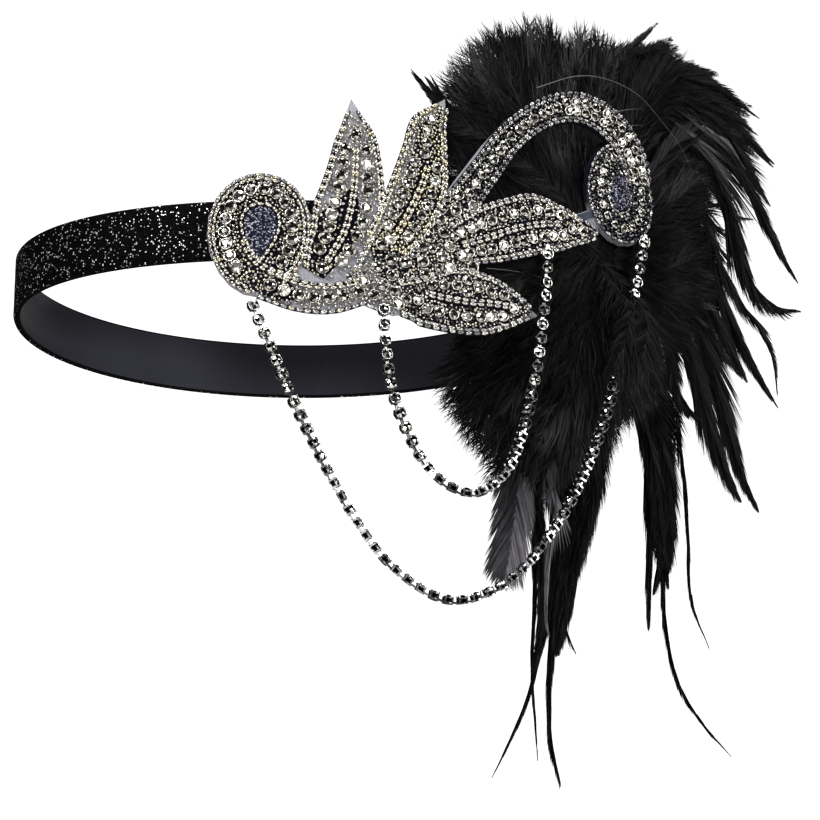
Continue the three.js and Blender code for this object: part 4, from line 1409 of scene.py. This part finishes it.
def shade_arch(piece):
    """High tone where the cloth belongs to the arch, middling under its scroll and low elsewhere."""
    corners = np.zeros(3 * len(piece.data.vertices))
    piece.data.vertices.foreach_get("co", corners)
    x, y, z = corners.reshape(-1, 3).T / MM
    s = BEND_RADIUS * np.arctan2(x, BEND_CENTRE_Y - y)
    tone = piece.data.attributes.new("tone", "FLOAT", "POINT")
    shade = np.where((s > ARCH_FROM) & (z > ARCH_ABOVE), 1.0, SCROLL_SHADE * (s > SCROLL_FROM))
    tone.data.foreach_set("value", shade.astype(np.float32))


def round_edges(piece, width):
    edges = piece.modifiers.new("soft_edge", "BEVEL")
    edges.width = width
    edges.segments = ROUNDING_STEPS
    edges.limit_method = "ANGLE"
    edges.angle_limit = ROUNDING_ANGLE


def loop_point(ribbon, turn, offset):
    """Point of the ribbon loop, in metres."""
    cosine, sine = math.cos(turn), math.sin(turn)
    near = sine < 0
    power = 2 / ribbon.near_power if near else 1
    depth = (ribbon.near_depth if near else ribbon.far_depth) + offset
    x = (ribbon.half_length + offset) * math.copysign(abs(cosine) ** power, cosine)
    return x, depth * math.copysign(abs(sine) ** power, sine)


def make_loop(name, ribbon, offset):
    """Ribbon loop drawn up from a ring, its map running along and up the ribbon in metres."""
    bm = bmesh.new()
    ring = bmesh.ops.create_circle(bm, segments=LOOP_STEPS, radius=1)["verts"]
    for vert in ring:
        turn = math.atan2(vert.co.y, vert.co.x)
        vert.co = (*loop_point(ribbon, turn, offset), -ribbon.height / 2)
    edges = list(bm.edges)
    for _ in range(LOOP_RISES):
        grown = bmesh.ops.extrude_edge_only(bm, edges=edges)["geom"]
        verts = [item for item in grown if isinstance(item, bmesh.types.BMVert)]
        edges = [item for item in grown if isinstance(item, bmesh.types.BMEdge)]
        bmesh.ops.translate(bm, verts=verts, vec=(0, 0, ribbon.height / LOOP_RISES))
    bmesh.ops.recalc_face_normals(bm, faces=bm.faces)
    chart = bm.loops.layers.uv.new("along")
    radius = (ribbon.half_length + ribbon.near_depth) / 2
    for face in bm.faces:
        middle = face.calc_center_median()
        centre_turn = math.atan2(middle.y, middle.x)
        for corner in face.loops:
            turn = math.atan2(corner.vert.co.y, corner.vert.co.x)
            turn += 2 * math.pi * round((centre_turn - turn) / (2 * math.pi))
            corner[chart].uv = (turn * radius, corner.vert.co.z)
    made = show_bmesh(name, bm)
    made.data.shade_smooth()
    wall = made.modifiers.new("wall", "SOLIDIFY")
    wall.thickness = ribbon.thickness
    wall.offset = 0
    wall.use_even_offset = True
    round_edges(made, RIBBON_ROUNDING)
    return made


def add_box(bm, centre, sides):
    """Box with its centre and its three sides."""
    verts = bmesh.ops.create_cube(bm, size=1)["verts"]
    bmesh.ops.scale(bm, verts=verts, vec=sides)
    bmesh.ops.translate(bm, verts=verts, vec=centre)


def add_disc(bm, radius, low, high):
    """Round plate between two heights."""
    made = bmesh.ops.create_cone(
        bm, cap_ends=True, segments=DISC_STEPS, radius1=radius, radius2=radius, depth=high - low
    )
    bmesh.ops.translate(bm, verts=made["verts"], vec=(0, 0, (low + high) / 2))


def link_shape(chain):
    """One link: floor, rim, posts and claws of a round cup, and a bar to the next one.
    Along the chain is x, across it is y and the stone faces z."""
    radius = chain.cup_width / MM / 2
    top = chain.cup_height / MM / 2
    bm = bmesh.new()
    add_disc(bm, radius, -top, PLATE_THICK - top)
    add_disc(bm, radius, top - PLATE_THICK, top)
    add_box(bm, (radius + BAR_OUT, 0, BAR_DEPTH), BAR_SIDES)
    for angle in claw_angles():
        reach = (POST_SHARE * radius * math.cos(angle), POST_SHARE * radius * math.sin(angle))
        add_box(bm, (*reach, 0), (POST_WIDE, POST_WIDE, 2 * top))
        add_claw(bm, CLAW_RADIUS, (*reach, top + CLAW_UP))
    return shape_of(bm)


def shade_core_shape(chain):
    """Painted shade inside a cup: a dark disc seen between its posts."""
    bm = bmesh.new()
    high = SHADE_CORE_HIGH * chain.cup_height / MM
    add_disc(bm, SHADE_CORE_WIDE * chain.cup_width / MM / 2, -high, high)
    return shape_of(bm)


def chain_line(chain):
    """Curve in which a chain hangs, and the direction away from the head."""
    ends = np.array([[*chain.left, CHAIN_DEPTH], [*chain.right, CHAIN_DEPTH]])
    left, right = bend(ends) / MM
    level = (right - left) * [1, 1, 0]
    level /= np.linalg.norm(level)
    bends = [left * [1, 1, 0] + level * item.along + np.array([0, 0, item.z]) for item in chain.bends]
    return curve_through([left, *bends, right], CHAIN_STEPS), np.cross(level, [0, 0, 1])


def link_frames(chain, rng):
    """Places of the links along a chain, and for each the directions along, across and out of its cup.
    The cups turn inwards at the bottom."""
    line, outward = chain_line(chain)
    share = (np.arange(chain.links) + 0.5) / chain.links
    places = at_length(line, share * run_length(line)[-1])
    along = headings(places)
    inward = np.cross(along, outward)
    inward *= np.sign(np.einsum("nk,nk->n", inward, line.mean(axis=0) - places))[:, None]
    low = np.clip((np.sin(math.pi * share) - chain.turn_from) / (1 - chain.turn_from), 0, 1)
    twist = LINK_TURN * np.sqrt(low)
    facing = np.cos(twist)[:, None] * outward + np.sin(twist)[:, None] * inward
    loose = rng.normal(0, LINK_LEAN, (2, chain.links, 1))
    facing = facing + loose[0] * along + loose[1] * np.cross(facing, along)
    facing /= np.linalg.norm(facing, axis=1, keepdims=True)
    return places, np.stack([along, np.cross(facing, along), facing], axis=1)


def make_chain(name, chain, settings, materials):
    """A row of links with their stones."""
    rng = np.random.default_rng(chain.links)
    places, frames = link_frames(chain, rng)
    along, across, facing = frames.transpose(1, 0, 2)
    plain = np.full(chain.links, PLAIN_TONE)
    gather = Gather()
    gather.add_copies(link_shape(settings), frames, places, plain, LINKS)
    # Painted shade: a dark disc inside each cup
    gather.add_copies(shade_core_shape(settings), frames, places, plain, SHADE_CORES)
    rim = facing * (settings.cup_height / MM / 2 - POINT_SUNK)
    turns = rng.uniform(0, math.pi, chain.links)[:, None]
    ahead = np.cos(turns) * along + np.sin(turns) * across
    aside = np.cos(turns) * across - np.sin(turns) * along
    turned = np.stack([ahead, aside, facing], axis=1)
    # Painted reflections on the facets of the chain's stones
    tones = painted_stone_tones(rng, chain.links, POINT_PAINTED_REFLECTIONS, 0.0)
    gather.add_copies(POINT, turned * POINT_RADIUS, places + rim, tones, POINTS)
    piece = gather.make(f"{name}_cups", materials, lambda corners: corners * MM)
    settle(piece, "chain", name)


def grow_feather(gather, rng, quill, kind, width, tone):
    """Adds one feather along a quill of flat points: barbs on both sides and the quill itself."""
    run = run_length(quill[:, :2])
    count = max(FEWEST_BARBS, int(run[-1] * (1 - kind.bare) / kind.spacing))
    t = np.tile(kind.bare + (1 - kind.bare) * (np.arange(count) + 0.5) / count, 2)
    side = np.repeat([1.0, -1.0], count)
    root = at_length(quill, t * run_length(quill)[-1])
    ahead = headings(at_length(quill[:, :2], t[:count] * run[-1]))
    ahead = np.vstack([ahead, ahead])
    aside = leftwards(ahead)
    swell = np.minimum(1, (t - kind.bare + FIRST_RISE) / kind.rise) * (1 - t) ** kind.taper + kind.tuft
    reach = width * swell * (1 + kind.ragged * rng.uniform(-1, 1, t.size))
    clumps = rng.normal(0, kind.loose, t.size // kind.clump + 1)
    loose = clumps[np.arange(t.size) // kind.clump] + rng.normal(0, kind.loose * STRAY, t.size)
    angle = np.radians(np.maximum(kind.open + (kind.close - kind.open) * t + loose, LEAST_ANGLE))
    span = reach / np.sin(np.maximum(angle, math.radians(kind.close) * CLOSE_SHARE))
    span = np.minimum(span, (1 - t) * run[-1] + kind.past * rng.uniform(*PAST_SHARES, t.size))
    curl = rng.uniform(*CURL_SHARES, t.size)[:, None]
    turn = angle[:, None] - math.radians(kind.curl) * BARB_STEPS * curl
    forward = span[:, None] * BARB_STEPS * np.cos(turn)
    outward = side[:, None] * span[:, None] * BARB_STEPS * np.sin(turn)
    flat = root[:, None, :2] + forward[..., None] * ahead[:, None] + outward[..., None] * aside[:, None]
    lift = rng.normal(0, kind.lift, t.size)[:, None] * BARB_STEPS
    depth = root[:, None, 2] - kind.camber * (outward / width) ** 2 + lift
    line = np.concatenate([flat, depth[..., None]], axis=-1)
    fine = np.clip((1 - t) / FINE_FROM, FINE_SHARE, 1)
    thin = kind.barb / 2 * np.outer(fine, 1 - BARB_STEPS**2)
    backward = (side[:, None] * np.cos(turn))[..., None] * aside[:, None]
    cross = np.sin(turn)[..., None] * ahead[:, None] - backward
    slope = rng.normal(0, BARB_SLOPE, t.size)[:, None]
    edge = np.concatenate([cross, np.broadcast_to(slope, turn.shape)[..., None]], axis=-1)
    tones = np.clip(tone * (1 + SIDE_TONE * side) + rng.normal(0, BARB_SPREAD, t.size), 0, 1)
    add_barbs(gather, line, edge * thin[..., None], tones)
    add_quill(gather, quill, kind.quill, QUILL_TONE * tone)


def add_barbs(gather, line, edge, tones):
    """Flat barbs that narrow to a point: the line of each, its half width across and its tone."""
    pairs = np.stack([line + edge, line - edge], axis=2).reshape(len(line), -1, 3)
    corners = pairs[:, :BARB_CORNERS]
    triangles = BARB_TRIANGLES[None] + BARB_CORNERS * np.arange(len(line))[:, None, None]
    gather.add(corners.reshape(-1, 3), triangles.reshape(-1, 3), np.repeat(tones, BARB_CORNERS))


def add_quill(gather, line, radius, tone):
    """Tapered four-sided quill along a line of flat points."""
    count = len(line)
    aside = leftwards(headings(line[:, :2]))
    girth = radius * np.linspace(1, QUILL_TIP, count)[:, None]
    sideways = np.column_stack([aside, np.zeros(count)]) * girth
    outwards = np.array([0, 0, 1]) * girth
    corners = np.stack([line + sideways, line + outwards, line - sideways, line - outwards], axis=1)
    ring = np.arange(4)
    near = 4 * np.arange(count - 1)[:, None]
    first = near + ring
    second = near + (ring + 1) % 4
    lower = np.stack([first, second, first + 4], axis=-1).reshape(-1, 3)
    upper = np.stack([second, second + 4, first + 4], axis=-1).reshape(-1, 3)
    gather.add(corners.reshape(-1, 3), np.vstack([lower, upper]), tone, 0, True)


def plume_root(rng, tip, depth, back):
    """Where a feather with this tip leaves the bound head, or starts behind it."""
    aim = np.asarray(tip, float) - PLUME_HEAD
    along = rng.uniform(-back, HEAD_WIDE)
    return np.array([*(np.asarray(PLUME_HEAD) + aim / np.linalg.norm(aim) * along), depth])


def grow_fluff(gather, rng, fluff, kind, back=0.0):
    """Tiers of soft feathers that fan out from the head, the nearer ones shorter."""
    rim = curve_through([tuple(tip) for tip in fluff.tips], RIM_STEPS)
    for tier in fluff.tiers:
        shares = (np.arange(tier.count) + rng.uniform(*TIP_SHARES, tier.count)) / tier.count
        for goal in at_length(rim, shares * run_length(rim)[-1]):
            reach = tier.reach * rng.uniform(*REACH_SHARES)
            tip = np.array(PLUME_HEAD) + (goal - PLUME_HEAD) * reach
            root = plume_root(rng, tip, fluff.root_depth, back)
            depth = tier.depth + rng.normal(0, DEPTH_SPREAD)
            ahead = tip - root[:2]
            sway = leftwards(ahead[None])[0] * rng.normal(0, SWAY)
            middle = np.array([*(root[:2] + SWAY_AT * ahead + sway), (root[2] + 2 * depth) / 3])
            quill = curve_through([root, middle, np.array([*tip, depth])], LOCK_STEPS)
            # Each feather's painted sheen
            grow_feather(gather, rng, quill, kind, tier.width, rng.uniform(0, fluff.tone))


def grow_plumelets(gather, rng, table, kind, root_depth, spread):
    """Single feathers, with near copies a small distance apart where they grow in a bunch."""
    for row in table:
        for copy in range(row.copies):
            drift = rng.normal(0, spread, 4) * (copy > 0)
            path = [np.array([*point, row.depth]) for point in row.path]
            path[-1] = path[-1] + [drift[0], drift[1], 0]
            path[0] = path[0] + [drift[2], drift[3], 0]
            root = plume_root(rng, path[0][:2], root_depth, 0)
            quill = curve_through([root, *path], PLUMELET_STEPS)
            grow_feather(gather, rng, quill, kind, row.width * (1 - COPY_SHRINK * copy), row.tone)


def aim_light(name, lamp, target):
    """Soft square light that faces a target."""
    light = bpy.data.lights.new(name, "AREA")
    light.size = lamp.width
    light.energy = lamp.power
    made = bpy.data.objects.new(name, light)
    made.location = lamp.place
    made.rotation_euler = (Vector(target) - Vector(lamp.place)).to_track_quat("-Z", "Y").to_euler()
    bpy.context.scene.collection.objects.link(made)
    return made


def light_alone(thing, lamp, target):
    """Soft light that falls on one thing alone; the others still shade it."""
    alone = bpy.data.collections.new(f"{thing.name}_only")
    alone.objects.link(thing)
    light = aim_light(f"{thing.name}_light", lamp, target)
    light.light_linking.receiver_collection = alone


class MakeRibbon(Operator):
    """Make the glitter ribbon and its lining"""

    bl_idname = "headband.make_ribbon"
    bl_label = "Ribbon"

    def execute(self, context):
        ribbon = context.scene.headband_ribbon
        half = (ribbon.gap + ribbon.thickness) / 2
        lining = make_loop("ribbon_lining", ribbon, -half)
        lining.data.materials.append(lining_cloth(ribbon))
        settle(lining, "ribbon", "band_backing")
        light_alone(lining, LINING_LAMP, LINING_TARGET)
        glitter = make_loop("ribbon_glitter", ribbon, half)
        glitter.data.materials.append(glitter_cloth(ribbon))
        settle(glitter, "glitter", "band_glitter_face")
        return {"FINISHED"}


class MakeFelt(Operator):
    """Make the felt base, the two inlays and the pad behind the plume"""

    bl_idname = "headband.make_felt"
    bl_label = "Felt and inlays"

    def execute(self, context):
        applique = context.scene.headband_applique
        materials = {
            "felt": felt_cloth("felt_cloth", applique.felt, applique.ground),
            "inlay": inlay_cloth(applique),
        }
        for name, node, slot, flat, under in SHEETS:
            piece = copy_of_node(name, node)
            shade_arch(piece)
            piece.data.materials.append(materials[slot])
            round_edges(piece, FELT_ROUNDING)
            settle(piece, slot, node)
        return {"FINISHED"}


class MakeBeadwork(Operator):
    """Sew the stones and beads of the scrolls, the arch, the leaves and the middle"""

    bl_idname = "headband.make_beadwork"
    bl_label = "Beadwork"

    def execute(self, context):
        applique = context.scene.headband_applique
        materials = [
            bead_glass(applique),
            cut_stone(applique),
            cup_metal("cup_metal", applique.silver),
            # Dark cloth under the beads, partly painted shade, and slate cloth
            felt_cloth("ground_cloth_and_shade", applique.slate, applique.ground),
        ]
        sewing = {
            "scroll_left": sew_scroll_left,
            "arch": sew_arch,
            "centre": sew_centre,
        }
        for leaf, rows in LEAVES.items():
            sewing[leaf] = lambda field, rows=rows, leaf=leaf: sew_rows(field, rows, SEWING[leaf])
        for seed, (name, sew) in enumerate(sewing.items()):
            field = Field(applique.bead_radius / MM, FIELD_PAINTED_LIGHT.get(name, 0.0), seed)
            sew(field)
            field.make(f"{name}_beads", materials, f"{name}_beadwork")
        return {"FINISHED"}


class MakeChains(Operator):
    """Hang the two cup chains"""

    bl_idname = "headband.make_chains"
    bl_label = "Cup chains"

    def execute(self, context):
        settings = context.scene.headband_chains
        materials = [
            cup_metal("chain_metal", settings.metal),
            cut_stone(context.scene.headband_applique),
            # Painted shade inside the cups
            cup_metal("chain_painted_shade", settings.core),
        ]
        for name, chain in CHAINS.items():
            make_chain(name, chain, settings, materials)
        return {"FINISHED"}


class MakePlume(Operator):
    """Grow the plume's soft locks, fan and tails"""

    bl_idname = "headband.make_plume"
    bl_label = "Plume"

    def execute(self, context):
        plume = context.scene.headband_plume
        material = feather_black(plume)
        rng = np.random.default_rng(plume.seed)
        growing = {
            "plume_fluff_top": self.grow_top,
            "plume_fluff_lower": self.grow_lower,
            "plume_fan_right": self.grow_fan,
            "plume_tails": self.grow_tails,
        }
        for node, grow in growing.items():
            gather = Gather()
            grow(gather, rng)
            settle(gather.make(f"{node}_feathers", [material], bend), "feather", node)
        return {"FINISHED"}

    @staticmethod
    def grow_top(gather, rng):
        grow_fluff(gather, rng, FLUFF_TOP, SPIKY)

    @staticmethod
    def grow_lower(gather, rng):
        grow_fluff(gather, rng, FLUFF_LOWER, SPIKY)
        grow_fluff(gather, rng, FLUFF_COVER, COVER, COVER_BACK)
        grow_fluff(gather, rng, FLUFF_RIGHT_COVER, COVER, COVER_BACK)
        for path in WISPS:
            root = plume_root(rng, path[0][:2], FLUFF_LOWER.root_depth, 0)
            quill = curve_through([root, *path], WISP_STEPS)
            grow_feather(gather, rng, quill, COVER, WISP_WIDTH, FLUFF_COVER.tone)

    @staticmethod
    def grow_fan(gather, rng):
        grow_fluff(gather, rng, FAN_FILL, DOWN)
        grow_plumelets(gather, rng, FAN_BROAD, BROAD, FAN_FILL.root_depth, BROAD_DRIFT)
        grow_plumelets(gather, rng, FAN_HACKLES, HACKLE, FAN_FILL.root_depth, BLADE_DRIFT)
        grow_plumelets(gather, rng, FAN_PALE, PALE_HACKLE, FAN_FILL.root_depth, BLADE_DRIFT)
        for points in BARE_QUILLS:
            add_quill(gather, curve_through(points, BARE_STEPS), BARE_RADIUS, BARE_TONE)

    @staticmethod
    def grow_tails(gather, rng):
        for table, kind in ((TAIL_BIOTS, BIOT), (TAIL_VANES, VANE), (TAIL_PALE, PALE_VANE)):
            grow_plumelets(gather, rng, table, kind, TAIL_ROOT, BLADE_DRIFT)


class MakeStage(Operator):
    """Set the floor, the lights, the surround and the camera"""

    bl_idname = "headband.make_stage"
    bl_label = "Stage"

    def execute(self, context):
        stage = context.scene.headband_stage
        lamp = Lamp(FLOOR_LAMP_PLACE, FLOOR_LAMP_WIDTH, stage.floor_light)
        light_alone(self.make_floor(stage), lamp, (0, 0, 0))
        self.make_surround(context.scene, stage)
        self.make_lights()
        camera = bpy.data.cameras.new("camera")
        camera.lens = stage.lens
        camera.sensor_width = SENSOR_WIDTH
        made = bpy.data.objects.new("camera", camera)
        made.location = stage.camera
        made.rotation_euler = (math.pi / 2 + stage.lift, 0, 0)
        context.scene.collection.objects.link(made)
        context.scene.camera = made
        context.scene.view_settings.view_transform = "Standard"
        context.scene.view_settings.look = "Medium High Contrast"
        return {"FINISHED"}

    @staticmethod
    def make_floor(stage):
        bm = bmesh.new()
        bmesh.ops.create_circle(bm, cap_ends=True, segments=FLOOR_STEPS, radius=stage.floor_radius)
        bmesh.ops.translate(bm, verts=bm.verts, vec=(0, 0, stage.floor))
        floor = show_bmesh("floor", bm)
        shader = Shader("floor_paper")
        grain = shader.noise(shader.place(), grain=0.01)
        tint = shader.mix(grain, (0.80, 0.80, 0.80), (0.84, 0.84, 0.84))
        floor.data.materials.append(shader.surface({"Base Color": tint, "Roughness": 0.9}))
        return floor

    @staticmethod
    def make_surround(scene, stage):
        """White for the camera, dim for the light that the part mirrors."""
        world = bpy.data.worlds.new("surround")
        world.use_nodes = True
        nodes, links = world.node_tree.nodes, world.node_tree.links
        nodes.clear()
        rays = nodes.new("ShaderNodeLightPath")
        seen = nodes.new("ShaderNodeBackground")
        seen.inputs["Color"].default_value = (1, 1, 1, 1)
        lit = nodes.new("ShaderNodeBackground")
        lit.inputs["Color"].default_value = (1, 1, 1, 1)
        lit.inputs["Strength"].default_value = stage.surround
        both = nodes.new("ShaderNodeMixShader")
        output = nodes.new("ShaderNodeOutputWorld")
        links.new(rays.outputs["Is Camera Ray"], both.inputs[0])
        links.new(lit.outputs[0], both.inputs[1])
        links.new(seen.outputs[0], both.inputs[2])
        links.new(both.outputs[0], output.inputs["Surface"])
        scene.world = world

    @staticmethod
    def make_lights():
        for name, lamp in LAMPS.items():
            aim_light(name, lamp, LAMP_TARGET)


OPERATORS = [MakeStage, MakeRibbon, MakeFelt, MakeBeadwork, MakeChains, MakePlume]


class HeadbandPanel(Panel):
    """Steps and settings of the headband"""

    bl_idname = "VIEW3D_PT_headband"
    bl_label = "Headband"
    bl_space_type = "VIEW_3D"
    bl_region_type = "UI"
    bl_category = "Headband"

    def draw(self, context):
        for operator in OPERATORS:
            self.layout.operator(operator.bl_idname)
        for name, group in SETTINGS.items():
            box = self.layout.box()
            for field in group.__annotations__:
                box.prop(getattr(context.scene, name), field)


CLASSES = [*SETTINGS.values(), *OPERATORS, HeadbandPanel]


def register():
    for cls in CLASSES:
        bpy.utils.register_class(cls)
    for name, group in SETTINGS.items():
        setattr(bpy.types.Scene, name, PointerProperty(type=group))


def unregister():
    for name in SETTINGS:
        delattr(bpy.types.Scene, name)
    for cls in reversed(CLASSES):
        bpy.utils.unregister_class(cls)


def main():
    register()
    bpy.ops.headband.make_stage()
    bpy.ops.headband.make_ribbon()
    bpy.ops.headband.make_felt()
    bpy.ops.headband.make_beadwork()
    bpy.ops.headband.make_chains()
    bpy.ops.headband.make_plume()


if __name__ == "__main__":
    main()
